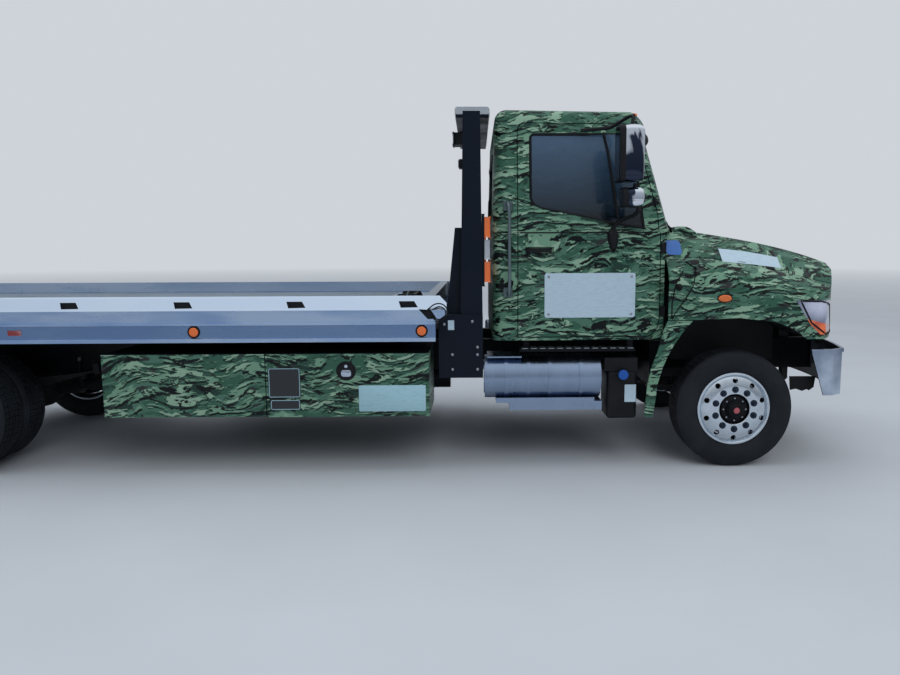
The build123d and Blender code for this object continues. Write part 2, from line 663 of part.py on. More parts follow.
with BuildPart() as splash_panels:
    block((-568, -560), (RAIL_OUT, 888), (560, 905))
    mirror(about=Plane.XZ)
splash_panels.part.label = "splash_panels"
export_step(splash_panels.part, "parts/splash_panels.step")

# Rear tails of the front fenders, fixed to the cab
TAIL_OUT = [(-498, 1056), (-536, 965), (-567, 831), (-605, 732), (-632, 605), (-651, 373)]
TAIL_IN = [(-589, 373), (-558, 617), (-525, 731), (-497, 795), (-455, 880), (-389, 978), (-322, 1056)]
TAIL_WALL = 10.0
TAIL_SEAMS = (732.0, 605.0)
SEAM_WIDTH, SEAM_DEPTH = 6.0, 4.0
tail_core = [(x - TAIL_WALL, z) for x, z in TAIL_IN]
with BuildPart() as fender_tails:
    across(TAIL_OUT + TAIL_IN, HOOD_HALF - 230, HOOD_HALF)
    across([(-800, 1100), (-800, 300), (tail_core[0][0], 300)] + tail_core + [(tail_core[-1][0], 1100)],
           HOOD_HALF - 300, HOOD_HALF - TAIL_WALL, mode=Mode.SUBTRACT)
    block((-600, -440), (HOOD_HALF - 190, HOOD_HALF - 120), (CAB_BOTTOM - 12, CAB_BOTTOM))
    for z in TAIL_SEAMS:
        block((-700, -400), (HOOD_HALF - SEAM_DEPTH, HOOD_HALF + CUT), (z - SEAM_WIDTH / 2, z + SEAM_WIDTH / 2),
              mode=Mode.SUBTRACT)
    mirror(about=Plane.XZ)
fender_tails.part.label = "fender_tails"
export_step(fender_tails.part, "parts/fender_tails.step")

# Front axle beam with its kingpins
BEAM = [
    (-865, 470), (-865, 370), (-812, 370), (-640, 290), (640, 290), (812, 370), (865, 370), (865, 470),
    (812, 470), (600, 385), (-600, 385), (-812, 470),
]
BEAM_HALF = 45.0
BEAM_POCKET = ((-590.0, 590.0), (310.0, 365.0))
BEAM_WEB = 24.0
with BuildPart() as front_axle:
    lengthwise(BEAM, -BEAM_HALF, BEAM_HALF)
    for side, sign in SIDES:
        rod((0, sign * KINGPIN_Y, 370), (0, sign * KINGPIN_Y, 470), BEAM_HALF)
        rod((0, sign * KINGPIN_Y, 300), (0, sign * KINGPIN_Y, 540), KINGPIN_RADIUS)
    block((-BEAM_HALF - CUT, -BEAM_WEB), *BEAM_POCKET, mode=Mode.SUBTRACT)
    block((BEAM_WEB, BEAM_HALF + CUT), *BEAM_POCKET, mode=Mode.SUBTRACT)
front_axle.part.label = "front_axle"
export_step(front_axle.part, "parts/front_axle.step")

# Leaf springs, each a bowed pack with its eyes under the frame
# columns: axle station, half length, half width, middle Y, leaves, seat Z, rise of the eyes
spring_table = ((0, 640, 35, 388, 5, 385, 90), (REAR, 720, 38, 475, 7, 484, 60))
LEAF = 13.0
SPRING_EYE = 24.0
SHACKLE_HALF = 22.0
with BuildPart() as leaf_springs:
    for x, half, width, y, leaves, seat, bow in spring_table:
        for side, sign in SIDES:
            y_limits = both(sign, y - width, y + width)
            for i in range(leaves):
                reach = half - i * half / (leaves + 1)
                top = seat + (leaves - i) * LEAF
                rise = bow * (reach / half) ** 2
                plane = Plane(origin=at(x, y_limits[1], 0), x_dir=(1, 0, 0), z_dir=(0, -1, 0))
                with BuildSketch(plane) as leaf:
                    with BuildLine():
                        ThreePointArc((-reach, top + rise), (0, top), (reach, top + rise))
                        Line((reach, top + rise), (reach, top + rise - LEAF))
                        ThreePointArc((reach, top + rise - LEAF), (0, top - LEAF), (-reach, top + rise - LEAF))
                        Line((-reach, top + rise - LEAF), (-reach, top + rise))
                    make_face()
                extrude(leaf.sketch, amount=2 * width, dir=(0, -1, 0))
            for end in (-1, 1):
                eye = (x + end * half, seat + leaves * LEAF + bow - 8)
                disc(*eye, SPRING_EYE, *y_limits)
                if y < RAIL_OUT:
                    block((eye[0] - SHACKLE_HALF, eye[0] + SHACKLE_HALF), y_limits, (eye[1], RAIL_BOTTOM))
                else:
                    block((eye[0] - SHACKLE_HALF, eye[0] + SHACKLE_HALF), both(sign, RAIL_OUT, y + width),
                          (eye[1], eye[1] + 60))
leaf_springs.part.label = "leaf_springs"
export_step(leaf_springs.part, "parts/leaf_springs.step")

# Steered knuckles, made about their kingpins; only the left arm carries a pin
KNUCKLE_BOSS = 44.0
KNUCKLE_OUT = 945.0
# columns: bottom Z, top Z of the bosses above and below the beam
boss_table = ((300.0, 365.0), (475.0, 540.0))
ARM = [(-30, 890), (-30, 850), (-215, 825), (-215, 865)]
for side, sign in SIDES:
    with BuildPart() as knuckle:
        for z0, z1 in boss_table:
            rod((0, sign * KINGPIN_Y, z0), (0, sign * KINGPIN_Y, z1), KNUCKLE_BOSS)
            block((-KNUCKLE_BOSS, KNUCKLE_BOSS), both(sign, KINGPIN_Y, KNUCKLE_OUT), (z0, z1))
        block((-KNUCKLE_BOSS, KNUCKLE_BOSS), both(sign, 916, KNUCKLE_OUT), (300, 540))
        disc(0, WHEEL_Z, 130, *both(sign, 925, KNUCKLE_OUT))
        disc(0, WHEEL_Z, FRONT_SPINDLE, *both(sign, 930, 1080))
        rod((0, sign * KINGPIN_Y, 290), (0, sign * KINGPIN_Y, 550), KINGPIN_RADIUS + FIT, Mode.SUBTRACT)
        upward([(x, sign * y) for x, y in ARM], *ARM_Z)
        if side == "left":
            rod((ARM_X, ARM_Y, ARM_Z[0]), (ARM_X, ARM_Y, 364), TIE_PIN)
    knuckle.part.label = f"knuckle_{side}"
    export_step(knuckle.part, f"parts/knuckle_{side}.step")

TIE_BOSS = 26.0
TIE_BOSS_Z = (331.0, 365.0)
with BuildPart() as tie_rod:
    rod((ARM_X, -ARM_Y, TIE_Z), (ARM_X, ARM_Y - 20, TIE_Z), 17)
    for side, sign in SIDES:
        rod((ARM_X, sign * ARM_Y, TIE_BOSS_Z[0]), (ARM_X, sign * ARM_Y, TIE_BOSS_Z[1]), TIE_BOSS)
    rod((ARM_X, ARM_Y, 320), (ARM_X, ARM_Y, 370), TIE_PIN + FIT, Mode.SUBTRACT)
tie_rod.part.label = "tie_rod"
export_step(tie_rod.part, "parts/tie_rod.step")

# Rear axle: banjo housing, tubes and spindles, with a brake chamber on each side
SPRING_Y, SPRING_HALF, SPRING_SEAT = 475.0, 45.0, 484.0
CHAMBER_Y, CHAMBER_RADIUS = 335.0, 68.0
with BuildPart() as rear_axle:
    disc(REAR, WHEEL_Z, 65, -690, 690)
    disc(REAR, WHEEL_Z, REAR_SPINDLE, -1010, 1010)
    with Locations(at(REAR, 0, WHEEL_Z)):
        Sphere(170)
    rod((REAR, 0, WHEEL_Z), (REAR + 330, 0, WHEEL_Z + 15), 75)
    for side, sign in SIDES:
        block((REAR - 70, REAR + 70), both(sign, SPRING_Y - SPRING_HALF, SPRING_Y + SPRING_HALF), (WHEEL_Z, SPRING_SEAT))
        block((REAR - 150, REAR - 40), both(sign, CHAMBER_Y - 12, CHAMBER_Y + 12), (430, 520))
        rod((REAR - 120, sign * CHAMBER_Y, 505), (REAR - 250, sign * CHAMBER_Y, 515), CHAMBER_RADIUS)
        rod((REAR - 245, sign * CHAMBER_Y, 515), (REAR - 290, sign * CHAMBER_Y, 518), CHAMBER_RADIUS - 14)
rear_axle.part.label = "rear_axle"
export_step(rear_axle.part, "parts/rear_axle.step")

SHAFT_RADIUS = 45.0
with BuildPart() as drive_shaft:
    rod((-901, 0, 590), (-3265, 0, 575), SHAFT_RADIUS)
    rod((-3265, 0, 575), (REAR + 332, 0, WHEEL_Z + 15), SHAFT_RADIUS)
    block((-3295, -3235), (-70, 70), (520, 640))
drive_shaft.part.label = "drive_shaft"
export_step(drive_shaft.part, "parts/drive_shaft.step")

# Wheels and tyres
BEAD_HALF = BEAD_WIDTH / 2
RIM_HALF = BEAD_HALF + FLANGE_WALL
WELL_RADIUS = BEAD_RADIUS - 22.0
SHELF_RADIUS = BEAD_RADIUS - 4.0
tyre_profile = [
    (-BEAD_HALF, BEAD_RADIUS + FIT), (-BEAD_HALF, FLANGE_RADIUS + 6), (-110, 286), (-119, 310), (-124, 342),
    (-122, 368), (-114, 394), (-104, 411), (-84, TYRE_RADIUS), (84, TYRE_RADIUS), (104, 411), (114, 394),
    (122, 368), (124, 342), (119, 310), (110, 286), (BEAD_HALF, FLANGE_RADIUS + 6), (BEAD_HALF, BEAD_RADIUS + FIT),
]
rim_profile = [
    (-RIM_HALF, FLANGE_RADIUS), (-BEAD_HALF - FIT, FLANGE_RADIUS), (-BEAD_HALF - FIT, BEAD_RADIUS),
    (-40, SHELF_RADIUS), (-30, WELL_RADIUS), (30, WELL_RADIUS), (40, SHELF_RADIUS),
    (BEAD_HALF + FIT, BEAD_RADIUS), (BEAD_HALF + FIT, FLANGE_RADIUS), (RIM_HALF, FLANGE_RADIUS),
    (RIM_HALF, BEAD_RADIUS - RIM_WALL), (44, SHELF_RADIUS - RIM_WALL), (34, WELL_RADIUS - RIM_WALL),
    (-34, WELL_RADIUS - RIM_WALL), (-44, SHELF_RADIUS - RIM_WALL), (-RIM_HALF, BEAD_RADIUS - RIM_WALL),
]


def rim(y, disc_out, x):
    """A wheel rim whose disc stands at disc_out from the tyre's middle."""
    out = 1 if disc_out > 0 else -1
    root, seat, back = out * (RIM_HALF - 30), BEAD_RADIUS - RIM_WALL + 3, disc_out - out * DISC_WALL
    revolved(rim_profile, y, x, WHEEL_Z)
    revolved([(root, seat), (root + out * DISC_WALL, seat), (disc_out, 205), (disc_out, HUB_RADIUS - 2),
              (back, HUB_RADIUS - 2), (back, 203)], y, x, WHEEL_Z)
    with BuildSketch(Plane(origin=at(x, y, WHEEL_Z), x_dir=(1, 0, 0), z_dir=(0, -1, 0))) as holes:
        with PolarLocations(HAND_HOLE_CIRCLE, HAND_HOLES):
            Circle(HAND_HOLE_RADIUS)
    extrude(holes.sketch, amount=200, both=True, mode=Mode.SUBTRACT)


# Stepped hubs, Y from the tyre's middle outward; the rear pair adds its drums and spacers
# columns: radius, inner Y, outer Y
front_hub = (
    (HUB_RADIUS, 60, 124), (150, 88, 100), (74, -17, 70), (BRAKE_DRUM, -25, 0), (HUB_BARREL, 124, 150),
    (HUB_CAP, 150, 158), (22, 158, 163),
)
rear_hub = ((HUB_RADIUS, -120, 120), (150, -26, -10), (HUB_BARREL - 2, -160, 215), (205, -215, -110))
for side, sign in SIDES:
    middle = sign * FRONT_TRACK / 2
    with BuildPart() as rim_front:
        rim(middle, sign * FRONT_DISC_OUT, 0)
        for radius, y0, y1 in front_hub:
            disc(0, WHEEL_Z, radius, *sorted((middle + sign * y0, middle + sign * y1)))
        disc(0, WHEEL_Z, FRONT_SPINDLE + 2 * FIT, *both(sign, 950, 1081), mode=Mode.SUBTRACT)
    rim_front.part.label = f"rim_front_{side}"
    export_step(rim_front.part, f"parts/rim_front_{side}.step")
    with BuildPart() as tyre_front:
        revolved(tyre_profile, middle, 0, WHEEL_Z)
    tyre_front.part.label = f"tyre_front_{side}"
    export_step(tyre_front.part, f"parts/tyre_front_{side}.step")
    centre = sign * REAR_TRACK / 2
    with BuildPart() as rims_rear:
        for out in (1, -1):
            rim(centre + out * sign * DUAL_SPACING / 2, -out * sign * (DUAL_SPACING / 2 - 1), REAR)
        for radius, y0, y1 in rear_hub:
            disc(REAR, WHEEL_Z, radius, *sorted((centre + sign * y0, centre + sign * y1)))
        disc(REAR, WHEEL_Z, 190, *sorted((centre - sign * 216, centre - sign * 125)), mode=Mode.SUBTRACT)
        disc(REAR, WHEEL_Z, HUB_BARREL - 2, *sorted((centre - sign * 160, centre - sign * 100)))
        disc(REAR, WHEEL_Z, REAR_SPINDLE + 2 * FIT, *both(sign, 600, 1011), mode=Mode.SUBTRACT)
    rims_rear.part.label = f"rims_rear_{side}"
    export_step(rims_rear.part, f"parts/rims_rear_{side}.step")
    with BuildPart() as tyres_rear:
        for out in (1, -1):
            revolved(tyre_profile, centre + out * DUAL_SPACING / 2, REAR, WHEEL_Z)
    tyres_rear.part.label = f"tyres_rear_{side}"
    export_step(tyres_rear.part, f"parts/tyres_rear_{side}.step")

# Exhaust canister on the right, with its bands, feet and a step plate above its back
CAN_X = (-1778.0, -957.0)
BAND_X = (-1640.0, -1480.0, -1330.0, -1110.0)
BAND_WIDTH, BAND_RISE = 26.0, 6.0
END_RADIUS, END_DEPTH = 120.0, 7.0
with BuildPart() as exhaust_canister:
    rod((CAN_X[0], CAN_Y, CAN_Z), (CAN_X[1], CAN_Y, CAN_Z), CAN_RADIUS)
    rod((CAN_X[0] - END_DEPTH, CAN_Y, CAN_Z), (CAN_X[1] + END_DEPTH, CAN_Y, CAN_Z), END_RADIUS)
    for x in BAND_X:
        rod((x, CAN_Y, CAN_Z), (x + BAND_WIDTH, CAN_Y, CAN_Z), CAN_RADIUS + BAND_RISE)
    block((-1700, -1000), (-1080, -840), (473, 510))
    block((-1602, -943), (-1060, -860), (417, 480))
    for x in (-1600, -1130):
        block((x, x + 50), (-880, -RAIL_OUT), (700, 760))
    block((-1759, -1518), (-1085, -800), (798, 808))
    block((-1660, -1620), (-1000, -900), (780, 800))
exhaust_canister.part.label = "exhaust_canister"
export_step(exhaust_canister.part, "parts/exhaust_canister.step")

# Fluid tank ahead of it, under a bracket box
with BuildPart() as def_tank:
    block((-905, -689), (-1050, -780), (346, 692))
    fillet(def_tank.edges(), 26)
    block((-923, -687), (-1040, -RAIL_OUT), (690, 787))
    rod((-775, -1040, 655), (-775, -1075, 655), 38)
def_tank.part.label = "def_tank"
export_step(def_tank.part, "parts/def_tank.step")

# Fuel tank on the left
with BuildPart() as fuel_tank:
    rod((-1750, FUEL_Y, FUEL_Z), (-760, FUEL_Y, FUEL_Z), FUEL_RADIUS)
    fillet(fuel_tank.edges(), 20)
    for x in (-1560, -1010):
        rod((x, FUEL_Y, FUEL_Z), (x + 60, FUEL_Y, FUEL_Z), FUEL_RADIUS + 5)
        block((x, x + 60), (RAIL_OUT, 600), (600, 840))
    rod((-1660, 860, 800), (-1660, 925, 875), 42)
fuel_tank.part.label = "fuel_tank"
export_step(fuel_tank.part, "parts/fuel_tank.step")

# Air tanks hung under the frame rails
with BuildPart() as air_tanks:
    for side, sign in SIDES:
        rod((-2750, sign * AIR_Y, AIR_Z), (-2050, sign * AIR_Y, AIR_Z), AIR_RADIUS)
        for x in (-2620, -2220):
            block((x, x + 40), both(sign, 200, 420), (RAIL_BOTTOM - 12, RAIL_BOTTOM))
            rod((x, sign * AIR_Y, AIR_Z), (x + 40, sign * AIR_Y, AIR_Z), AIR_RADIUS + 4)
air_tanks.part.label = "air_tanks"
export_step(air_tanks.part, "parts/air_tanks.step")

# Steps under the doors
with BuildPart() as cab_steps:
    block((-1530, -720), (980, 1100), (842, 862))
    for x in (-1500, -760):
        block((x, x + 40), (984, 1012), (850, CAB_BOTTOM))
    mirror(about=Plane.XZ)
cab_steps.part.label = "cab_steps"
export_step(cab_steps.part, "parts/cab_steps.step")

# Toolboxes along both sides, hollow, with a drop-down door at the front
LATCH_RADIUS, LATCH_DEPTH = 68.0, 6.0
BARREL_HINGE = 6.0
BOX_BRACKETS = (-4300.0, -3330.0, -2330.0)
for side, sign in SIDES:
    y_in, y_out = sign * BOX_Y[0], sign * BOX_Y[1]
    face = BOX_Y[1] - BOX_DOOR_WALL
    with BuildPart() as toolbox:
        block((BOX_BACK, BOX_FRONT), both(sign, *BOX_Y), BOX_Z)
        block((BOX_BACK + BOX_WALL, BOX_FRONT - BOX_WALL), both(sign, BOX_Y[0] + BOX_WALL, face),
              (BOX_Z[0] + BOX_WALL, BOX_Z[1] - BOX_WALL), mode=Mode.SUBTRACT)
        block((BOX_SPLIT, BOX_FRONT + CUT), both(sign, face, BOX_Y[1] + CUT),
              (BOX_Z[0] - CUT, BOX_Z[1] + CUT), mode=Mode.SUBTRACT)
        block((BOX_SPLIT - BOX_WALL, BOX_SPLIT + BOX_WALL), both(sign, BOX_Y[0] + CUT, face),
              (BOX_Z[1] - 60, BOX_Z[1] - CUT))
        for x in BOX_BRACKETS:
            block((x, x + 70), both(sign, RAIL_OUT, BOX_Y[0]), (660, 800))
    toolbox.part.label = f"toolbox_{side}"
    export_step(toolbox.part, f"parts/toolbox_{side}.step")
    with BuildPart() as toolbox_door:
        block((BOX_SPLIT + SHUT_GAP, BOX_FRONT - CUT), both(sign, face + FIT, BOX_Y[1]),
              (BOX_Z[0] + CUT, BOX_Z[1] - CUT))
        disc(*LATCH, LATCH_RADIUS, *both(sign, BOX_Y[1] - LATCH_DEPTH, BOX_Y[1] + CUT), mode=Mode.SUBTRACT)
        rod((BOX_SPLIT + SHUT_GAP, y_out, BOX_Z[0] + CUT), (BOX_FRONT - CUT, y_out, BOX_Z[0] + CUT), BARREL_HINGE)
    toolbox_door.part.label = f"toolbox_door_{side}"
    export_step(toolbox_door.part, f"parts/toolbox_door_{side}.step")

# Light pylon behind the cab, with the tray of the light bar on its head
POST = [(-1945, 1100), (-1791, 1100), (-1802, PYLON_TOP), (-1920, PYLON_TOP)]
GUSSET = [(-2045, 1105), (-1982, 1708), (-1900, 1708), (-1900, 1105)]
SLAT = [(-1890, 0), (-1840, 50), (-1833, 43), (-1883, -7)]
SLATS, SLAT_PITCH, FIRST_SLAT = 6, 110.0, 1230.0
# columns: bottom Z, top Z of the bars across the pylon
pylon_bars = ((1160, 1200), (1860, 1900))
with BuildPart() as light_pylon:
    block((-2060, -1830), (-950, 950), (RAIL_TOP, 990))
    for side, sign in SIDES:
        block(PYLON_BASE, both(sign, 940, 1100), (660, 1105))
        across(POST, *both(sign, *POST_Y))
        across(GUSSET, *both(sign, 1000, 1012))
    block((-1918, -1804), (-965, 965), (2390, PYLON_TOP))
    for i in range(SLATS):
        across(raised(SLAT, FIRST_SLAT + i * SLAT_PITCH), -965, 965)
    for z0, z1 in pylon_bars:
        block((-1900, -1830), (-965, 965), (z0, z1))
    block((BAR_X[0] + 6, BAR_X[1] - 6), (6 - BAR_HALF, BAR_HALF - 6), (PYLON_TOP, BAR_Z[0]))
light_pylon.part.label = "light_pylon"
export_step(light_pylon.part, "parts/light_pylon.step")

MODULE = 2 * BAR_HALF / BAR_MODULES
MODULE_GROOVE, GROOVE_DEPTH = 6.0, 5.0
with BuildPart() as light_bar:
    block(BAR_X, (-BAR_HALF, BAR_HALF), BAR_Z)
    fillet(light_bar.edges().filter_by(Axis.Y).group_by(Axis.Z)[-1], 22)
    for i in range(1, BAR_MODULES):
        y = -BAR_HALF + i * MODULE
        for x in BAR_X:
            block((x - GROOVE_DEPTH, x + GROOVE_DEPTH), (y - MODULE_GROOVE / 2, y + MODULE_GROOVE / 2),
                  (BAR_Z[0] - CUT, BAR_Z[1] + CUT), mode=Mode.SUBTRACT)
light_bar.part.label = "light_bar"
export_step(light_bar.part, "parts/light_bar.step")

# Mudflaps and the tail lamp bar
with BuildPart() as mudflaps:
    block((-6082, -6072), (680, 1180), (230, 770))
    block((-6100, -6072), (RAIL_OUT, 1180), (750, 790))
    mirror(about=Plane.XZ)
mudflaps.part.label = "mudflaps"
export_step(mudflaps.part, "parts/mudflaps.step")

TAIL_LAMP_Y = (790.0, 905.0, 1020.0)
with BuildPart() as tail_lamp_bar:
    block((-7990, -7950), (200, 1150), (650, 770))
    for y in TAIL_LAMP_Y:
        rod((-7990, y, 710), (-8006, y, 710), 50)
    mirror(about=Plane.XZ)
tail_lamp_bar.part.label = "tail_lamp_bar"
export_step(tail_lamp_bar.part, "parts/tail_lamp_bar.step")

# Tilting subframe, with the barrel of the slide cylinder along its middle
BARREL_RADIUS, BARREL_BORE, ROD_RADIUS = 44.0, 29.0, 28.5
EYE_LUG = [(-3560, 985), (-3540, 900), (-3520, 870), (-3480, 870), (-3460, 900), (-3440, 985)]
EYE_LUG_Y = (176.0, 270.0)
EYE_LUG_WALL = 12.0
SUB_PADS = (-2500.0, -3500.0, -4500.0, -5500.0, -6500.0, -7500.0)
PAD_LENGTH = 300.0
SUB_CROSSES = (-2550.0, -4980.0, -5900.0, -6700.0, -7400.0, -7840.0)
SUB_CROSS, SUB_CROSS_TOP = 70.0, 888.0
SADDLES = SUB_CROSSES[:3]
with BuildPart() as subframe:
    for side, sign in SIDES:
        y = both(sign, *SUB_Y)
        block((TILT_HINGE[0], -2450), y, (SUBFRAME_BOTTOM, SUBFRAME_TOP))
        block((TILT_HINGE[0] - 25, TILT_HINGE[0] + CUT), y, (TILT_HINGE[1], SUBFRAME_TOP))
        disc(*TILT_HINGE, 24, *y)
        disc(*TILT_HINGE, LUG_PIN + FIT, *y, mode=Mode.SUBTRACT)
        for x in SUB_PADS:
            block((x, x + PAD_LENGTH), y, (SUBFRAME_TOP, RUNNER_BOTTOM - FIT))
        for y0 in EYE_LUG_Y:
            across(EYE_LUG, *both(sign, y0, y0 + EYE_LUG_WALL))
    for x in SUB_CROSSES:
        block((x, x + SUB_CROSS), (-SUB_Y[0], SUB_Y[0]), (SUBFRAME_BOTTOM, SUB_CROSS_TOP))
    block((-3560, -3440), (-SUB_Y[0], SUB_Y[0]), (945, SUBFRAME_TOP))
    rod((BARREL_BACK, 0, SLIDE_Z), (BARREL_FRONT, 0, SLIDE_Z), BARREL_RADIUS)
    rod((BARREL_BACK - CUT, 0, SLIDE_Z), (BARREL_FRONT - 30, 0, SLIDE_Z), BARREL_BORE, mode=Mode.SUBTRACT)
    for x in SADDLES:
        block((x, x + SUB_CROSS), (-40, 40), (880, 902))
subframe.part.label = "subframe"
export_step(subframe.part, "parts/subframe.step")

# Tilt cylinders between the frame rails
span = hypot(EYE[0] - CYLINDER_BASE[0], EYE[1] - CYLINDER_BASE[1])
way = ((EYE[0] - CYLINDER_BASE[0]) / span, (EYE[1] - CYLINDER_BASE[1]) / span)


def along(distance, y):
    """A point on a tilt cylinder's line."""
    return (CYLINDER_BASE[0] + way[0] * distance, y, CYLINDER_BASE[1] + way[1] * distance)


TUBE_RADIUS, TUBE_BORE, PISTON_RADIUS, TUBE_END = 55.0, 31.0, 30.5, 1080.0
with BuildPart() as tilt_barrels:
    for side, sign in SIDES:
        y = sign * CYL_Y
        rod(along(30, y), along(50, y), 36)
        rod(along(46, y), along(TUBE_END, y), TUBE_RADIUS)
        rod(along(80, y), along(TUBE_END + CUT, y), TUBE_BORE, mode=Mode.SUBTRACT)
        disc(*CYLINDER_BASE, 42, y - 38, y + 38)
        disc(*CYLINDER_BASE, LUG_PIN + FIT, y - 39, y + 39, mode=Mode.SUBTRACT)
tilt_barrels.part.label = "tilt_barrels"
export_step(tilt_barrels.part, "parts/tilt_barrels.step")

with BuildPart() as tilt_rods:
    for side, sign in SIDES:
        y = sign * CYL_Y
        rod(along(100, y), along(span - 20, y), PISTON_RADIUS)
        disc(*EYE, 32, y - 34, y + 34)
tilt_rods.part.label = "tilt_rods"
export_step(tilt_rods.part, "parts/tilt_rods.step")

# Bed frame: two runners, crossmembers and the rod of the slide cylinder
with BuildPart() as bed_frame:
    for side, sign in SIDES:
        block((BED_BEND, BED_FRONT - 30), both(sign, *RUNNER_Y), (RUNNER_BOTTOM, DECK_TOP - DECK_WALL))
    for i in range(BED_CROSSES):
        x = BED_FRONT - 60 - i * BED_CROSS_PITCH
        block((x - 50, x), (-BED_RAIL_IN, BED_RAIL_IN), (1050, DECK_TOP - DECK_WALL))
    rod((BARREL_FRONT - 80, 0, SLIDE_Z), (-6260, 0, SLIDE_Z), ROD_RADIUS)
    block((-6300, -6250), (-45, 45), (900, 1060))
bed_frame.part.label = "bed_frame"
export_step(bed_frame.part, "parts/bed_frame.step")

# Deck with the well of the winch at its head and a beaver tail at its back
DECK_BOTTOM = DECK_TOP - DECK_WALL
DECK = [(BED_FRONT, DECK_TOP), (BED_FRONT, DECK_BOTTOM), (BED_BEND, DECK_BOTTOM), (BED_BACK, 1060), (BED_BACK, 1078),
        (BED_BEND, DECK_TOP)]
HEADBOARD_TOP = 1240.0
with BuildPart() as bed_deck:
    across(DECK, -BED_RAIL_IN, BED_RAIL_IN)
    block((DECK_HEAD, BED_FRONT + CUT), (-BED_RAIL_IN, BED_RAIL_IN), (DECK_TOP - DECK_STEP, DECK_TOP + CUT),
          mode=Mode.SUBTRACT)
    block((BED_FRONT - 70, BED_FRONT), (-BED_RAIL_IN, BED_RAIL_IN), (DECK_TOP - DECK_STEP, HEADBOARD_TOP))
    block(WINCH_WELL_X, (-WINCH_WELL_Y, WINCH_WELL_Y), (DECK_BOTTOM - CUT, DECK_TOP + CUT), mode=Mode.SUBTRACT)
bed_deck.part.label = "bed_deck"
export_step(bed_deck.part, "parts/bed_deck.step")

# Side rails of the bed, extruded sections
RAIL_SKIN = 1212.0
rail_profile = [
    (BED_RAIL_IN + 6, 933), (RAIL_SKIN + 1, 933), (RAIL_SKIN + 1, 960), (RAIL_SKIN - 6, 964), (RAIL_SKIN - 6, 1046),
    (BED_HALF, 1050), (BED_HALF, 1067), (RAIL_SKIN, 1071), (RAIL_SKIN, 1150), (RAIL_SKIN - 6, 1161), (1168, 1235),
    (1158, BED_RAIL_TOP), (BED_RAIL_IN, BED_RAIL_TOP), (BED_RAIL_IN, 1050), (BED_RAIL_IN + 6, 1050),
]
RAIL_HOLLOW = [(1160, 975), (1194, 975), (1194, 1140), (1160, 1192)]
RAIL_NOSE_CUT = [(-2085, BED_RAIL_TOP + 10), (-2085, BED_RAIL_TOP), (BED_RAIL_NOSE, 1196), (BED_RAIL_NOSE, 1121),
                 (-2105, 1074), (-2115, 1060), (-2115, 900), (-2000, 900), (-2000, BED_RAIL_TOP + 10)]
NOSE_WINDOW = [(-2228, 1155), (-2144, 1150), (-2104, 1089), (-2166, 1087)]
TAIL_LOW = [(BED_BACK - 5, 900), (BED_BEND, 900), (BED_BACK - 5, 1010)]
TAIL_HIGH = [(BED_BACK - 5, 1100), (BED_BEND, 1250), (BED_BACK - 5, 1250)]
# a slot's corners from its own station
SLOT = [(-65, 1208), (41, 1208), (68, 1167), (-49, 1165)]
FIRST_SLOT, FIRST_LAMP = -2300.0, -2209.0
LAMP_Z, LAMP_RADIUS = 1006.0, 41.0
RAIL_Y = (1100.0, 1300.0)
with BuildPart() as bed_rails:
    lengthwise(rail_profile, BED_BACK, BED_RAIL_NOSE)
    lengthwise(RAIL_HOLLOW, BED_BACK - CUT, BED_RAIL_NOSE - 60, mode=Mode.SUBTRACT)
    for outline in (RAIL_NOSE_CUT, TAIL_LOW, TAIL_HIGH):
        across(outline, *RAIL_Y, mode=Mode.SUBTRACT)
    across(NOSE_WINDOW, 1190, 1300, mode=Mode.SUBTRACT)
    for i in range(SLOTS):
        x = FIRST_SLOT - i * SLOT_PITCH
        across([(x + step, z) for step, z in SLOT], 1170, 1300, mode=Mode.SUBTRACT)
    for i in range(LAMPS):
        x = FIRST_LAMP - i * LAMP_PITCH
        disc(x, LAMP_Z, LAMP_RADIUS, 1200, 1230, mode=Mode.SUBTRACT)
    mirror(about=Plane.XZ)
bed_rails.part.label = "bed_rails"
export_step(bed_rails.part, "parts/bed_rails.step")

# Winch let into the head of the deck, between the runners
WINCH_FLOOR, WINCH_BASE = 1000.0, 1012.0
WINCH_PLATE = [(-2520, WINCH_BASE), (-2520, 1090), (-2470, 1200), (-2322, 1200), (-2270, 1090), (-2270, WINCH_BASE)]
# columns: inner Y, outer Y of the side plates
plate_table = ((-240, -200), (200, 240))
with BuildPart() as winch:
    block((-2530, -2260), (-RUNNER_Y[0], RUNNER_Y[0]), (WINCH_FLOOR, WINCH_BASE))
    for y0, y1 in plate_table:
        across(WINCH_PLATE, y0, y1)
    disc(*WINCH, 80, 240, 296)
    disc(*WINCH, 60, -296, -240)
    disc(*WINCH, DRUM_SHAFT, -200, 200)
    disc(-2345, 1185, 14, -200, 200)
winch.part.label = "winch"
export_step(winch.part, "parts/winch.step")

DRUM_RADIUS, DRUM_FLANGE, DRUM_WALL = 50.0, 78.0, 12.0
with BuildPart() as winch_drum:
    disc(*WINCH, DRUM_RADIUS, -DRUM_HALF, DRUM_HALF)
    disc(*WINCH, DRUM_FLANGE, -DRUM_HALF, DRUM_WALL - DRUM_HALF)
    disc(*WINCH, DRUM_FLANGE, DRUM_HALF - DRUM_WALL, DRUM_HALF)
    disc(*WINCH, DRUM_SHAFT + FIT, -DRUM_HALF - CUT, DRUM_HALF + CUT, mode=Mode.SUBTRACT)
winch_drum.part.label = "winch_drum"
export_step(winch_drum.part, "parts/winch_drum.step")

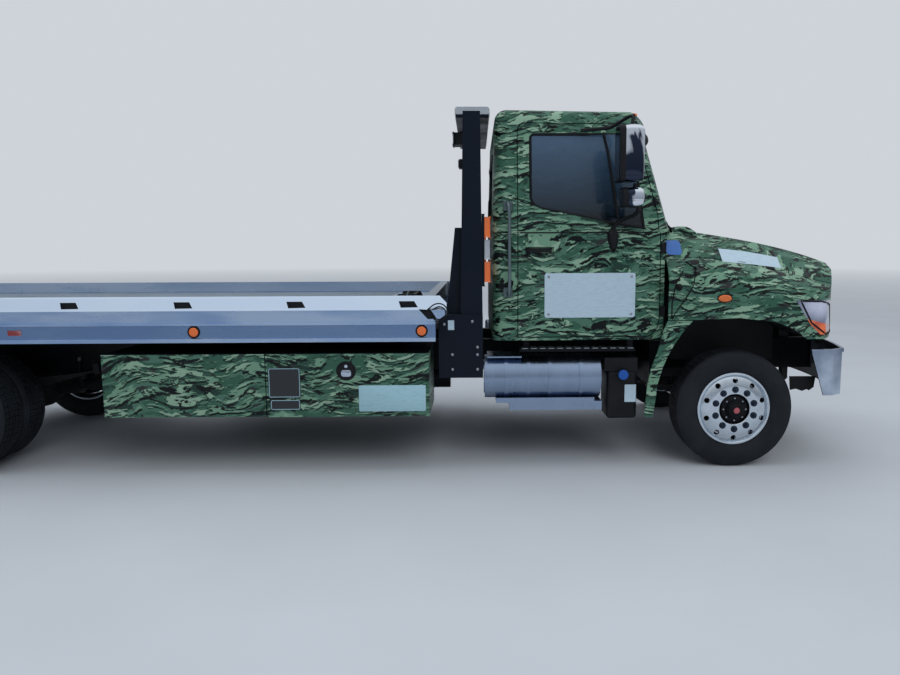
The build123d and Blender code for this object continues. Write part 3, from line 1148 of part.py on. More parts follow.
# Wheel lift: boom, stinger and crossbar
BOOM_HALF, BOOM_WALL = 94.0, 18.0
BOOM_Z = (500.0, 620.0)
TUBE_HALF = BOOM_HALF - BOOM_WALL
STINGER_HALF = TUBE_HALF - FIT
STINGER_Z = (BOOM_Z[0] + BOOM_WALL + FIT, BOOM_Z[1] - BOOM_WALL - FIT)
with BuildPart() as lift_boom:
    block((-8480, -7860), (-BOOM_HALF, BOOM_HALF), BOOM_Z)
    block((-8481, -7990), (-TUBE_HALF, TUBE_HALF), (BOOM_Z[0] + BOOM_WALL, BOOM_Z[1] - BOOM_WALL), mode=Mode.SUBTRACT)
    disc(*LIFT_PIVOT, LIFT_PIN + FIT, -BOOM_HALF - CUT, BOOM_HALF + CUT, mode=Mode.SUBTRACT)
lift_boom.part.label = "lift_boom"
export_step(lift_boom.part, "parts/lift_boom.step")

with BuildPart() as lift_stinger:
    block((-8600, -8000), (-STINGER_HALF, STINGER_HALF), STINGER_Z)
    rod((SWIVEL_X, 0, STINGER_Z[0]), (SWIVEL_X, 0, STINGER_Z[1]), STINGER_HALF)
    rod((SWIVEL_X, 0, 480), (SWIVEL_X, 0, 640), LIFT_PIN)
    block((SWIVEL_X, -8590), (-STINGER_HALF, STINGER_HALF), STINGER_Z)
lift_stinger.part.label = "lift_stinger"
export_step(lift_stinger.part, "parts/lift_stinger.step")

# columns: bottom Z, top Z of the plates that clasp the stinger's end
clasp_table = ((488, 518), (602, 632))
SOCKET_X = CROSSBAR_BACK + CROSSBAR_DEPTH / 2
SOCKET_Z = (620.0, 640.0)
with BuildPart() as lift_crossbar:
    for z0, z1 in clasp_table:
        block((-8750, -8600), (-110, 110), (z0, z1))
    block((CROSSBAR_BACK, CROSSBAR_BACK + CROSSBAR_DEPTH), (-805, 805), BOOM_Z)
    rod((SWIVEL_X, 0, 470), (SWIVEL_X, 0, 650), LIFT_PIN + FIT, mode=Mode.SUBTRACT)
    for y in (-SOCKET_Y, SOCKET_Y):
        rod((SOCKET_X, y, SOCKET_Z[0]), (SOCKET_X, y, SOCKET_Z[1]), 36)
        rod((SOCKET_X, y, 480), (SOCKET_X, y, SOCKET_Z[1] + CUT), SOCKET_RADIUS, mode=Mode.SUBTRACT)
lift_crossbar.part.label = "lift_crossbar"
export_step(lift_crossbar.part, "parts/lift_crossbar.step")
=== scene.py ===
from math import cos, pi, radians, sin, sqrt, tau

import bmesh
import bpy
from mathutils import Matrix, Vector
from mathutils.bvhtree import BVHTree


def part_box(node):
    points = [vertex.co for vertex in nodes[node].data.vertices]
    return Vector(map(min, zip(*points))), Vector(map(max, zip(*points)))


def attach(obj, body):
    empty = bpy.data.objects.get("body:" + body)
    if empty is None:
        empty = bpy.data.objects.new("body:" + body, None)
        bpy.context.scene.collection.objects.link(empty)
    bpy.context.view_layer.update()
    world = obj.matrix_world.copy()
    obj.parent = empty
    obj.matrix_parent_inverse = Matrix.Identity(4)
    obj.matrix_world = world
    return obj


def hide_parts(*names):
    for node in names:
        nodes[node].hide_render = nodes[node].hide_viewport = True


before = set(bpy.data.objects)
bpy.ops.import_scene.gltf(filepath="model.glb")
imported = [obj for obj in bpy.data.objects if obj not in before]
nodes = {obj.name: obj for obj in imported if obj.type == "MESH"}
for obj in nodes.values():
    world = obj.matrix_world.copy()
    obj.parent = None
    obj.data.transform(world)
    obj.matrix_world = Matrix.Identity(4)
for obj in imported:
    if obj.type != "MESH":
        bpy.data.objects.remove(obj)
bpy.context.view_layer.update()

# Lengths in the tables are millimetres, X from the front axle forward, Y to the truck's left, Z up.
tyre_low, tyre_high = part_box("tyre_front_right")
AXLE_X = (tyre_low[0] + tyre_high[0]) / 2
WHEEL_Z = 419.0
TYRE_RADIUS = 419.0
REAR = -5512.0
FRONT_MIDDLE = 985.0
REAR_MIDDLE = 925.0
DUAL_SPACING = 279.0
SIDES = (("left", 1), ("right", -1))


def at(x, y, z):
    """A table's point in the row frame, in metres."""
    return Vector((AXLE_X + x / 1000, y / 1000, z / 1000))


def rgb(red, green, blue):
    """A colour as read off a screen, 0 to 255, made linear for a shader."""
    def linear(level):
        level /= 255
        return level / 12.92 if level <= 0.04045 else ((level + 0.055) / 1.055) ** 2.4
    return (linear(red), linear(green), linear(blue), 1.0)


def shaded(color, share):
    """The same colour with its light changed by a share."""
    return tuple(min(1.0, share * level) for level in color[:3]) + (1.0,)


class Nodes:
    """A tree of nodes, with short ways to add and join them."""

    def __init__(self, tree):
        self.tree = tree

    def add(self, kind, inputs=None, **settings):
        """A new node with its settings made and its inputs set or linked."""
        node = self.tree.nodes.new(kind)
        for key, value in settings.items():
            setattr(node, key, value)
        self.feed(node, inputs or {})
        return node

    def feed(self, node, inputs):
        """Sets or links a node's inputs, by name or number."""
        for key, value in inputs.items():
            if isinstance(value, bpy.types.NodeSocket):
                self.tree.links.new(value, node.inputs[key])
            else:
                node.inputs[key].default_value = value

    def value(self, kind, inputs=None, **settings):
        """The first output of a new node."""
        return self.add(kind, inputs, **settings).outputs[0]


# Finishes
class Finish(Nodes):
    """One procedural material."""

    def __init__(self, name, **levels):
        self.material = bpy.data.materials.new(name)
        self.material.use_nodes = True
        super().__init__(self.material.node_tree)
        self.shader = self.tree.nodes["Principled BSDF"]
        coordinates = self.add("ShaderNodeTexCoord").outputs
        self.place, self.facing = coordinates["Object"], coordinates["Normal"]
        self.use(**levels)

    def mapped(self, scale=(1, 1, 1), shift=(0, 0, 0), turn=(0, 0, 0), source=None):
        """Object coordinates, shifted, turned and scaled."""
        return self.value("ShaderNodeMapping", {
            "Vector": source or self.place, "Scale": scale, "Location": shift, "Rotation": turn})

    def noise(self, vector, size, detail, rough=0.5, bend=0.0):
        """A cloudy value about 0.5."""
        return self.value("ShaderNodeTexNoise", {
            "Vector": vector, "Scale": size, "Detail": detail, "Roughness": rough, "Distortion": bend})

    def ribs(self, vector, size, way, bend=0.0):
        """Waves across one axis, from 0 to 1."""
        return self.add("ShaderNodeTexWave", {"Vector": vector, "Scale": size, "Distortion": bend},
                        bands_direction=way).outputs["Fac"]

    def sums(self, operation, a, b):
        """One step of arithmetic."""
        return self.value("ShaderNodeMath", {0: a, 1: b}, operation=operation)

    def between(self, value, low, high, start=0.0, end=1.0):
        """value carried from low..high to start..end, held at both."""
        return self.value("ShaderNodeMapRange", {
            "Value": value, "From Min": low, "From Max": high, "To Min": start, "To Max": end})

    def mix(self, amount, a, b):
        """Colour a turning to colour b."""
        node = self.add("ShaderNodeMix", data_type="RGBA")
        self.feed(node, {0: amount, 6: a, 7: b})
        return node.outputs[2]

    def height(self, value, depth):
        """A bump of that depth in metres."""
        self.use(Normal=self.value("ShaderNodeBump", {"Height": value, "Distance": depth, "Strength": 1.0}))

    def split(self):
        """Object X, Y and Z as three values."""
        return self.add("ShaderNodeSeparateXYZ", {0: self.place}).outputs

    def upward(self):
        """How far a face looks up, from -1 to 1."""
        return self.add("ShaderNodeSeparateXYZ", {0: self.facing}).outputs[2]

    def inside(self, centre):
        """1 on faces that look towards a point given in metres, 0 on those that look away."""
        away = self.value("ShaderNodeVectorMath", {0: self.place, 1: centre}, operation="SUBTRACT")
        outward = self.add("ShaderNodeVectorMath", {0: self.facing, 1: away}, operation="DOT_PRODUCT")
        return self.between(outward.outputs["Value"], 0.01, -0.01)

    def use(self, **inputs):
        """Links or sets the shader's inputs; underscores stand for spaces."""
        self.feed(self.shader, {key.replace("_", " "): value for key, value in inputs.items()})
        return self.material


CAMO_BLACK = rgb(3, 9, 11)
CAMO_BROWN = rgb(44, 46, 46)
CAMO_SHADE = rgb(28, 54, 46)
CAMO_GREEN = rgb(48, 86, 70)
CAMO_MID = rgb(70, 106, 90)
CAMO_PALE = rgb(104, 140, 118)
CAMO_LIGHT = rgb(130, 160, 138)


def camouflage_wrap(name, centre, lining):
    """Printed film in greens: torn blotches drawn out in waves, each with a dark lower edge; plain inside."""
    f = Finish(name, Roughness=0.42, Specular_IOR_Level=0.2, Coat_Weight=0.04, Coat_Roughness=0.12)
    wave = f.noise(f.mapped((2.3, 2.3, 3.4)), 1.0, 1.0)
    lift = f.value("ShaderNodeCombineXYZ", {2: f.sums("MULTIPLY", f.sums("SUBTRACT", wave, 0.5), 0.2)})
    lifted = f.value("ShaderNodeVectorMath", {0: f.place, 1: lift}, operation="ADD")
    drawn = f.mapped(turn=(0, radians(4), 0), source=lifted)

    def blotch(size, shift, low):
        vector = f.mapped((6.4 * size, 6.4 * size, 24.0 * size), shift, source=drawn)
        return f.between(f.noise(vector, 1.0, 4.0, 0.62, 0.55), low, low + 0.006)

    color = f.mix(blotch(0.6, (4, 9, 2), 0.5), CAMO_GREEN, CAMO_MID)
    color = f.mix(blotch(0.55, (11, 3, 5), 0.57), color, CAMO_SHADE)
    color = f.mix(blotch(0.9, (31, 8, 3), 0.60), color, CAMO_BROWN)
    color = f.mix(blotch(0.8, (2, 7, 1.3), 0.54), color, CAMO_BLACK)
    color = f.mix(blotch(0.8, (2, 7, 1), 0.55), color, CAMO_PALE)
    color = f.mix(blotch(0.9, (23, 5, 2.25), 0.572), color, CAMO_SHADE)
    color = f.mix(blotch(0.9, (23, 5, 2), 0.575), color, CAMO_LIGHT)
    color = f.mix(blotch(1.0, (17, 6, 12), 0.59), color, CAMO_BLACK)
    low_down = f.between(f.split()[2], 0.95, 0.35, 0.0, 0.05)
    film = f.sums("MULTIPLY", low_down, f.noise(f.mapped((3, 3, 9)), 1.0, 5.0))
    color = f.mix(film, color, rgb(100, 104, 100))
    f.height(f.noise(f.place, 260.0, 2.0), 0.00012)
    return f.use(Base_Color=f.mix(f.inside(tuple(at(*centre))), color, lining))


def bumper_chrome():
    """Chrome outside with painted dark and pale reflections; the back of the channel is black, painted shade.
    """
    f = Finish("bumper_chrome")
    # painted reflections: dark and pale patches in the chrome's colour
    reflection_swirl = f.noise(f.mapped((2, 2, 2)), 1.0, 5.0)
    # painted shade: faces that look inward, on the back of the channel, are black
    back = f.inside(tuple(at(500, 0, 700)))
    painted_reflection = f.mix(f.between(reflection_swirl, 0.38, 0.62), rgb(100, 112, 138), rgb(206, 218, 232))
    return f.use(Base_Color=f.mix(back, painted_reflection, rgb(14, 16, 20)),
                 Metallic=f.between(back, 0.0, 1.0, 1.0, 0.0), Roughness=f.between(back, 0.0, 1.0, 0.07, 0.5))


def mirror_chrome():
    """Chrome cover with painted broken dark and light reflections."""
    f = Finish("mirror_chrome", Metallic=1.0, Roughness=0.06)
    # painted reflections: dark patches broken into the chrome's colour
    painted_reflection_mask = f.noise(f.mapped((5.0, 5.0, 4.0), (3, 1, 2)), 1.0, 3.0, 0.55, 0.8)
    return f.use(Base_Color=f.mix(f.between(painted_reflection_mask, 0.49, 0.53), rgb(224, 230, 240), rgb(52, 60, 78)))


def headlamp_lens():
    """Clear lens over a bright bowl whose reflections are painted in, amber in its lower part."""
    f = Finish("headlamp_lens", Roughness=0.08, Coat_Weight=1.0, Coat_Roughness=0.03)
    x, _, z = f.split()
    slope = f.sums("ADD", z, f.sums("MULTIPLY", f.sums("SUBTRACT", x, AXLE_X), 0.25))
    flutes = f.ribs(f.place, 26.0, "Y")
    # painted reflections of the bowl: bright and dark patches in the lens colour
    reflection_cells = f.value("ShaderNodeTexVoronoi", {
        "Vector": f.mapped((4.2, 4.2, 5.2), (0.2, 0.1, 0.3)), "Scale": 1.0})
    bowl = f.between(reflection_cells, 0.1, 0.6)
    clear = f.mix(bowl, rgb(196, 200, 222), rgb(84, 92, 116))
    amber = f.mix(flutes, rgb(236, 110, 52), rgb(190, 70, 34))
    f.height(flutes, 0.0008)
    return f.use(Base_Color=f.mix(f.between(slope, 1.188, 1.181), clear, amber))


def worn_metal(name, color, low, high, grain, relief=0.00004):
    """Bare metal with its grain along one way, from low to high roughness."""
    f = Finish(name, Metallic=1.0)
    line = f.noise(f.mapped(grain), 1.0, 5.0, 0.6)
    cloud = f.noise(f.place, 2.4, 4.0)
    both = f.sums("MULTIPLY", f.sums("ADD", line, cloud), 0.5)
    f.height(line, relief)
    return f.use(Base_Color=f.mix(f.between(both, 0.35, 0.65), shaded(color, 0.82), color),
                 Roughness=f.between(both, 0.35, 0.65, low, high))


def rail_aluminium():
    """Polished rail extrusion, clouded along its length, with painted shade in its lower channel and a
    painted highlight on its upper part.
    """
    f = Finish("polished_rail_aluminium", Metallic=1.0)
    line = f.noise(f.mapped((1.2, 70, 70)), 1.0, 5.0, 0.6)
    cloud = f.noise(f.mapped((1.1, 1.1, 5.0)), 1.0, 4.0)
    height = f.split()[2]
    # painted shade: the lower channel, from 0.962 m to 1.049 m, is darker
    channel = f.sums("MULTIPLY", f.between(height, 0.962, 0.966), f.between(height, 1.049, 1.045))
    color = f.mix(f.between(cloud, 0.42, 0.6), rgb(150, 176, 214), rgb(184, 204, 230))
    color = f.mix(f.sums("MULTIPLY", channel, 0.8), color, rgb(104, 132, 172))
    # painted highlight: paler from 1.15 m up
    color = f.mix(f.between(height, 1.146, 1.152, 0.0, 0.75), color, rgb(220, 234, 250))
    f.height(line, 0.00003)
    return f.use(Base_Color=color, Roughness=f.between(cloud, 0.35, 0.65, 0.16, 0.34))


def satin_paint(name, color, rough, dust=0.25, metallic=0.0):
    """Sprayed paint with a fine orange peel and dust on what faces up."""
    f = Finish(name, Metallic=metallic, Specular_IOR_Level=0.14)
    patch = f.noise(f.place, 5.0, 6.0, 0.6)
    level = f.between(f.upward(), 0.2, 1.0, 0.06, 1.0)
    film = f.sums("MULTIPLY", level, f.between(patch, 0.35, 0.75, 0.0, dust))
    f.height(f.noise(f.place, 330.0, 2.0), 0.0001)
    return f.use(Base_Color=f.mix(film, color, rgb(104, 108, 110)),
                 Roughness=f.between(patch, 0.3, 0.7, rough - 0.06, rough + 0.14))


def tyre_rubber():
    """Weathered rubber, greyer in patches."""
    f = Finish("tyre_rubber", Specular_IOR_Level=0.35)
    patch = f.noise(f.place, 6.0, 7.0, 0.65)
    f.height(f.noise(f.place, 420.0, 3.0), 0.00025)
    return f.use(Base_Color=f.mix(f.between(patch, 0.42, 0.75), rgb(14, 18, 24), rgb(36, 40, 45)),
                 Roughness=f.between(patch, 0.3, 0.7, 0.62, 0.85))


def moulded_plastic(name, color, rough=0.5):
    """Grained plastic or rubber moulding."""
    f = Finish(name, Specular_IOR_Level=0.25)
    grain = f.value("ShaderNodeTexVoronoi", {"Vector": f.place, "Scale": 620.0})
    patch = f.noise(f.place, 7.0, 4.0)
    f.height(grain, 0.00015)
    pale = tuple(min(1, c * 1.9 + 0.004) for c in color[:3]) + (1,)
    return f.use(Base_Color=f.mix(f.between(patch, 0.4, 0.8), color, pale),
                 Roughness=f.between(patch, 0.3, 0.7, rough - 0.08, rough + 0.1))


def woven_cloth(name, warp, weft):
    """Seat cloth with its weave of two yarns."""
    f = Finish(name, Sheen_Weight=0.4, Roughness=0.9)
    across = f.ribs(f.place, 130.0, "Y", 1.2)
    along = f.ribs(f.mapped(turn=(0, 0.3, 0)), 130.0, "Z", 1.2)
    weave = f.sums("MULTIPLY", across, along)
    fuzz = f.noise(f.place, 38.0, 4.0)
    f.height(weave, 0.0008)
    return f.use(Base_Color=f.mix(f.sums("MULTIPLY", weave, fuzz), warp, weft))


def window_glass():
    """Tinted glass over a dark cab, with a painted sky reflection that makes it paler towards its top."""
    f = Finish("window_glass", Roughness=0.03, Alpha=0.72, Specular_IOR_Level=0.5)
    haze = f.noise(f.mapped((1.2, 1.2, 4.0)), 1.0, 5.0)
    # dark tint below, painted sky reflection towards the top
    tint_and_sky_reflection = f.mix(f.between(f.split()[2], 1.78, 2.3), rgb(14, 22, 30), rgb(72, 98, 124))
    return f.use(Base_Color=f.mix(f.between(haze, 0.35, 0.7, 0.0, 0.35), tint_and_sky_reflection, rgb(44, 60, 74)))


def lens(name, color, glow=0.0, clear=0.35):
    """A ribbed lamp lens."""
    f = Finish(name, Roughness=0.12, Transmission_Weight=clear, Coat_Weight=0.8, Coat_Roughness=0.04,
               Emission_Color=color, Emission_Strength=glow)
    rib = f.ribs(f.place, 38.0, "Z")
    f.height(rib, 0.0006)
    return f.use(Base_Color=f.mix(rib, color, shaded(color, 0.8)))


def bare_plate(name, color):
    """A blank plate or label, a little scuffed."""
    f = Finish(name, Coat_Weight=0.3)
    scuff = f.noise(f.mapped((4, 4, 30)), 6.0, 6.0, 0.7)
    f.height(scuff, 0.00006)
    return f.use(Base_Color=f.mix(f.between(scuff, 0.45, 0.75), color, shaded(color, 0.78)),
                 Roughness=f.between(scuff, 0.3, 0.7, 0.27, 0.47))


def wire_rope():
    """Twisted wire with painted shade in its furrows."""
    f = Finish("wire_rope", Metallic=0.9)
    twist = f.ribs(f.mapped(turn=(0.4, 0, 0.5)), 90.0, "DIAGONAL")
    f.height(twist, 0.001)
    return f.use(Base_Color=f.mix(twist, rgb(70, 74, 78), rgb(150, 156, 162)), Roughness=0.45)


CAB_WRAP = camouflage_wrap("camouflage_on_cab", (-1120, 0, 1700), rgb(60, 62, 64))
HOOD_WRAP = camouflage_wrap("camouflage_on_hood", (150, 0, 800), rgb(16, 17, 19))
BOX_WRAP = camouflage_wrap("camouflage_on_toolboxes", (-3000, 0, 600), rgb(22, 40, 36))
BUMPER_CHROME = bumper_chrome()
HEADLAMP_LENS = headlamp_lens()
MIRROR_CHROME = mirror_chrome()
CHROME = worn_metal("bright_chrome", rgb(196, 208, 224), 0.05, 0.14, (3, 3, 3), 0.0)
RAIL_ALUMINIUM = rail_aluminium()
DECK_ALUMINIUM = worn_metal("worn_deck_aluminium", rgb(176, 188, 200), 0.32, 0.55, (2, 60, 60), 0.0002)
WHEEL_ALLOY = worn_metal("polished_wheel_alloy", rgb(214, 224, 234), 0.10, 0.24, (30, 2, 30))
STAINLESS = worn_metal("brushed_stainless", rgb(150, 168, 194), 0.2, 0.36, (12, 3, 3), 0.0)
CAST_IRON = satin_paint("cast_iron", rgb(46, 46, 48), 0.6, 0.5, 0.4)
BRIGHT_STEEL = worn_metal("ground_steel", rgb(170, 176, 182), 0.18, 0.4, (40, 40, 4))
FRAME_BLACK = satin_paint("frame_black", rgb(10, 13, 18), 0.4)
PYLON_BLACK = satin_paint("pylon_black", rgb(12, 20, 32), 0.34, 0.12)
ENGINE_GREY = satin_paint("engine_grey", rgb(70, 74, 78), 0.5, 0.6)
TYRE_RUBBER = tyre_rubber()
BLACK_PLASTIC = moulded_plastic("black_plastic", rgb(10, 12, 16))
BLACK_RUBBER = moulded_plastic("black_rubber", rgb(7, 8, 11), 0.6)
TRIM_GREY = moulded_plastic("cab_trim_grey", rgb(58, 60, 62), 0.55)
SEAT_CLOTH = woven_cloth("seat_cloth", rgb(40, 42, 46), rgb(86, 90, 96))
WINDOW_GLASS = window_glass()
CLEAR_LENS = lens("clear_lens", rgb(196, 206, 216))
AMBER_LENS = lens("amber_lens", rgb(226, 110, 30), 0.15)
RED_LENS = lens("red_lens", rgb(150, 16, 14), 0.05)
WHITE_PLATE = bare_plate("blank_white_plate", rgb(172, 194, 208))
DARK_PLATE = bare_plate("blank_dark_plate", rgb(16, 22, 26))
PALE_PLATE = bare_plate("blank_pale_plate", rgb(150, 188, 200))
BLUE_PLATE = bare_plate("blank_blue_sticker", rgb(36, 96, 170))
MIRROR_GLASS = worn_metal("mirror_glass", rgb(60, 76, 96), 0.02, 0.06, (2, 2, 2), 0.0)
GRAB_GREY = worn_metal("anodised_grab_grey", rgb(118, 134, 138), 0.34, 0.5, (8, 8, 2))
PINK_OIL = lens("oil_window", rgb(190, 86, 96), 0.0, 0.2)
BLUE_CAP = moulded_plastic("blue_cap", rgb(30, 76, 150), 0.4)
WIRE_ROPE = wire_rope()
DARK_NUTS = satin_paint("dark_wheel_nuts", rgb(44, 54, 70), 0.35, 0.1, 0.6)
HUB_BLACK = satin_paint("oily_hub_black", rgb(14, 16, 20), 0.3, 0.05)
DRUM_RUST = satin_paint("brake_drum", rgb(52, 46, 42), 0.7, 0.4, 0.3)

# Which finish each node keeps
finishes = {
    CAB_WRAP: ("cab_shell", "door_left", "door_right"),
    HOOD_WRAP: ("hood_shell", "fender_tails"),
    BOX_WRAP: ("toolbox_left", "toolbox_right", "toolbox_door_left", "toolbox_door_right"),
    BUMPER_CHROME: ("front_bumper",),
    CHROME: ("grille",),
    RAIL_ALUMINIUM: ("bed_rails",),
    DECK_ALUMINIUM: ("bed_deck",),
    STAINLESS: ("exhaust_canister", "fuel_tank"),
    CAST_IRON: ("front_axle", "rear_axle", "knuckle_left", "knuckle_right", "drive_shaft", "leaf_springs",
                "winch"),
    BRIGHT_STEEL: ("tilt_rods", "tie_rod", "winch_drum"),
    FRAME_BLACK: ("air_tanks", "frame_rails", "frame_crossmembers", "cab_steps", "subframe", "tilt_barrels",
                  "bed_frame", "lift_boom", "lift_stinger", "lift_crossbar", "tail_lamp_bar"),
    PYLON_BLACK: ("light_pylon",),
    ENGINE_GREY: ("engine", "radiator"),
    BLACK_PLASTIC: ("splash_panels", "fender_liners", "def_tank"),
    BLACK_RUBBER: ("mudflaps",),
    TRIM_GREY: ("dashboard",),
    WINDOW_GLASS: ("cab_glass", "door_glass_left", "door_glass_right"),
    HEADLAMP_LENS: ("headlamps",),
    CLEAR_LENS: ("light_bar",),
}
for finish, names in finishes.items():
    for name in names:
        for holder in nodes[name].material_slots:
            holder.material = finish


# Meshes, given in a table's millimetres
def on_axis(centre, way, along, radius, turn):
    """A point at a distance along an axis, a radius from it and an angle round it."""
    u, v = radius * cos(turn), radius * sin(turn)
    x, y, z = centre
    places = {"X": (x + along, y + u, z + v), "Y": (x + u, y + along, z + v), "Z": (x + u, y + v, z + along)}
    return places[way]


class Shape:
    """A mesh under construction."""

    def __init__(self):
        self.mesh = bmesh.new()

    def skin(self, rings, capped=True, joined=False, open_rings=False):
        """Rings of equal length joined by faces; capped closes both ends, joined ties last to first."""
        rows = [[self.mesh.verts.new(point) for point in ring] for ring in rings]
        pairs = list(zip(rows, rows[1:])) + ([(rows[-1], rows[0])] if joined else [])
        for a, b in pairs:
            for i in range(len(a) - (1 if open_rings else 0)):
                j = (i + 1) % len(a)
                self.mesh.faces.new((a[i], a[j], b[j], b[i]))
        if capped and not joined:
            self.mesh.faces.new(rows[0][::-1])
            self.mesh.faces.new(rows[-1])
        return self.soften([v for row in rows for v in row], 0.0)

    def soften(self, corners, soft):
        """Rounds every edge between the given corners."""
        if soft:
            edges = list(dict.fromkeys(edge for corner in corners for edge in corner.link_edges))
            bmesh.ops.bevel(self.mesh, geom=edges, offset=soft, segments=2, profile=0.5, affect="EDGES")
        return self

    def box(self, x, y, z, soft=0.0):
        """A box between two limits on each axis."""
        corners = bmesh.ops.create_cube(self.mesh, size=1.0)["verts"]
        for corner in corners:
            corner.co = [a + (level + 0.5) * (b - a) for level, (a, b) in zip(corner.co, (x, y, z))]
        return self.soften(corners, soft)

    def prism(self, outline, way, low, high, soft=0.0):
        """An outline in the two other axes, in order, carried along one axis."""
        slot = "XYZ".index(way)
        rings = [[p[:slot] + (level,) + p[slot:] for p in outline] for level in (low, high)]
        before = set(self.mesh.verts)
        self.skin(rings)
        return self.soften([v for v in self.mesh.verts if v not in before], soft)

    def turned(self, profile, centre, way="Y", steps=48, hollow=False, sign=1):
        """A profile of (distance along, radius) turned about an axis; hollow joins its ends too."""
        rings = [[on_axis(centre, way, sign * along, radius, tau * i / steps) for along, radius in profile]
                 for i in range(steps)]
        return self.skin(rings, joined=True, open_rings=not hollow)

    def bar(self, points, radius, sides, closed=False):
        """A round bar that follows points; radius is one number or one for each point."""
        points = [Vector(point) for point in points]
        radii = radius if isinstance(radius, (list, tuple)) else [radius] * len(points)
        count = len(points)
        ways = []
        for i in range(count):
            back = points[i - 1] if i or closed else points[0]
            ahead = points[(i + 1) % count] if i < count - 1 or closed else points[-1]
            ways.append((ahead - back).normalized())
        side = ways[0].orthogonal().normalized()
        rings = []
        for point, way, size in zip(points, ways, radii):
            side = (side - way * side.dot(way)).normalized()
            other = way.cross(side)
            rings.append([point + size * (cos(tau * k / sides) * side + sin(tau * k / sides) * other)
                          for k in range(sides)])
        return self.skin(rings, joined=closed)


def nut_profile(radius, height, stud, rise):
    """A nut with its chamfer and the end of its stud, as (along, radius)."""
    return [(0, 0), (0, radius), (0.8 * height, radius), (height, 0.86 * radius), (height, stud * radius),
            ((1 + rise) * height, stud * radius), ((1 + rise) * height, 0)]


CREASE = 32  # degrees between two faces from which their edge is sharp


def settled(name, shape, finish, place):
    """The shape as an object with sharp and smooth edges; place turns its points into metres."""
    mesh = shape.mesh
    bmesh.ops.remove_doubles(mesh, verts=mesh.verts, dist=0.02)
    bmesh.ops.recalc_face_normals(mesh, faces=mesh.faces)
    for corner in mesh.verts:
        corner.co = place(corner.co)
    data = bpy.data.meshes.new(name)
    mesh.to_mesh(data)
    mesh.free()
    data.shade_smooth()
    data.set_sharp_from_angle(angle=radians(CREASE))
    data.materials.append(finish)
    piece = bpy.data.objects.new(name, data)
    bpy.context.collection.objects.link(piece)
    return piece


def fixed(piece, body, replaced=()):
    """Makes a piece ride on its body and stand for its nodes."""
    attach(piece, body)
    if replaced:
        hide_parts(*replaced)
    return piece


def made(name, shape, finish, body, replaced=()):
    """A finished piece at its place in the row."""
    return fixed(settled(name, shape, finish, lambda p: at(*p)), body, replaced)


class Group(Nodes):
    """A geometry node group whose inputs are named before it is first used."""

    def __init__(self, name, inputs):
        super().__init__(bpy.data.node_groups.new(name, "GeometryNodeTree"))
        new_socket = self.tree.interface.new_socket
        self.sockets = {key: new_socket(key, in_out="INPUT", socket_type="NodeSocket" + kind).identifier
                        for key, kind in inputs}
        new_socket("Made", in_out="OUTPUT", socket_type="NodeSocketGeometry")
        self.given = self.add("NodeGroupInput").outputs

    def ends_in(self, geometry):
        """Realizes the geometry, moves it to the centre and colours it."""
        whole = self.value("GeometryNodeRealizeInstances", {0: geometry})
        moved = self.value("GeometryNodeTransform", {0: whole, "Translation": self.given["Centre"]})
        coloured = self.value("GeometryNodeSetMaterial", {0: moved, "Material": self.given["Finish"]})
        self.add("NodeGroupOutput", {0: coloured})
        return self

    def runs_on(self, piece, **values):
        """Runs the group on a piece and leaves a plain mesh."""
        run = piece.modifiers.new("group", "NODES")
        run.node_group = self.tree
        for key, value in values.items():
            run[self.sockets[key]] = value
        return baked(piece)


def turned_piece(name, finish, body, profile, centre, **how):
    """One turned piece; how is as in Shape.turned."""
    return made(name, Shape().turned(profile, centre, **how), finish, body)


def repeat_group():
    """Copies of the mesh it is given, stepped along a line or turned about a crosswise axle."""
    group = Group("repeated_pieces", (
        ("Piece", "Geometry"), ("Count", "Int"), ("Step", "Vector"), ("Turn", "Float"), ("Centre", "Vector"),
        ("Finish", "Material")))
    given = group.given
    line = group.value("GeometryNodeMeshLine", {"Count": given["Count"], "Offset": given["Step"]})
    index = group.value("GeometryNodeInputIndex")
    turn = group.value("ShaderNodeMath", {0: index, 1: given["Turn"]}, operation="MULTIPLY")
    about = group.value("ShaderNodeCombineXYZ", {"Y": turn})
    return group.ends_in(group.value("GeometryNodeInstanceOnPoints", {
        "Points": line, "Instance": given["Piece"], "Rotation": about}))


REPEATED = repeat_group()


def baked(piece):
    """Leaves a piece with the plain mesh that its modifiers make, and returns it."""
    bpy.context.view_layer.update()
    plain = bpy.data.meshes.new_from_object(piece.evaluated_get(bpy.context.evaluated_depsgraph_get()))
    piece.modifiers.clear()
    piece.data = plain
    return plain


def repeated(name, shape, finish, body, count, step=(0, 0, 0), turn=0.0, centre=(0, 0, 0)):
    """One plain mesh of many: stepped by millimetres, or modelled about a centre and turned round it."""
    piece = settled(name, shape, finish, lambda p: Vector(p) / 1000)
    REPEATED.runs_on(piece, Count=count, Step=tuple(level / 1000 for level in step), Turn=float(turn),
                     Centre=tuple(at(*centre)), Finish=finish)
    return fixed(piece, body)


def pierced(piece, cutter):
    """The piece with another shape taken out of it."""
    tool = settled("cutter", cutter, piece.data.materials[0], lambda p: at(*p))
    cut = piece.modifiers.new("holes", "BOOLEAN")
    cut.object = tool
    cut.solver = "EXACT"
    baked(piece).set_sharp_from_angle(angle=radians(CREASE))
    bpy.data.objects.remove(tool)


# Wheels: tyres with their tread, rims with round hand holes, nuts and hubs
TREAD_BASE = 405.0
TREAD_PITCHES = 60
# columns: inner and outer distance of a tread rib from the tyre's middle
tread_ribs = ((-84, -55), (-46, -19), (-10, 10), (19, 46), (55, 84))
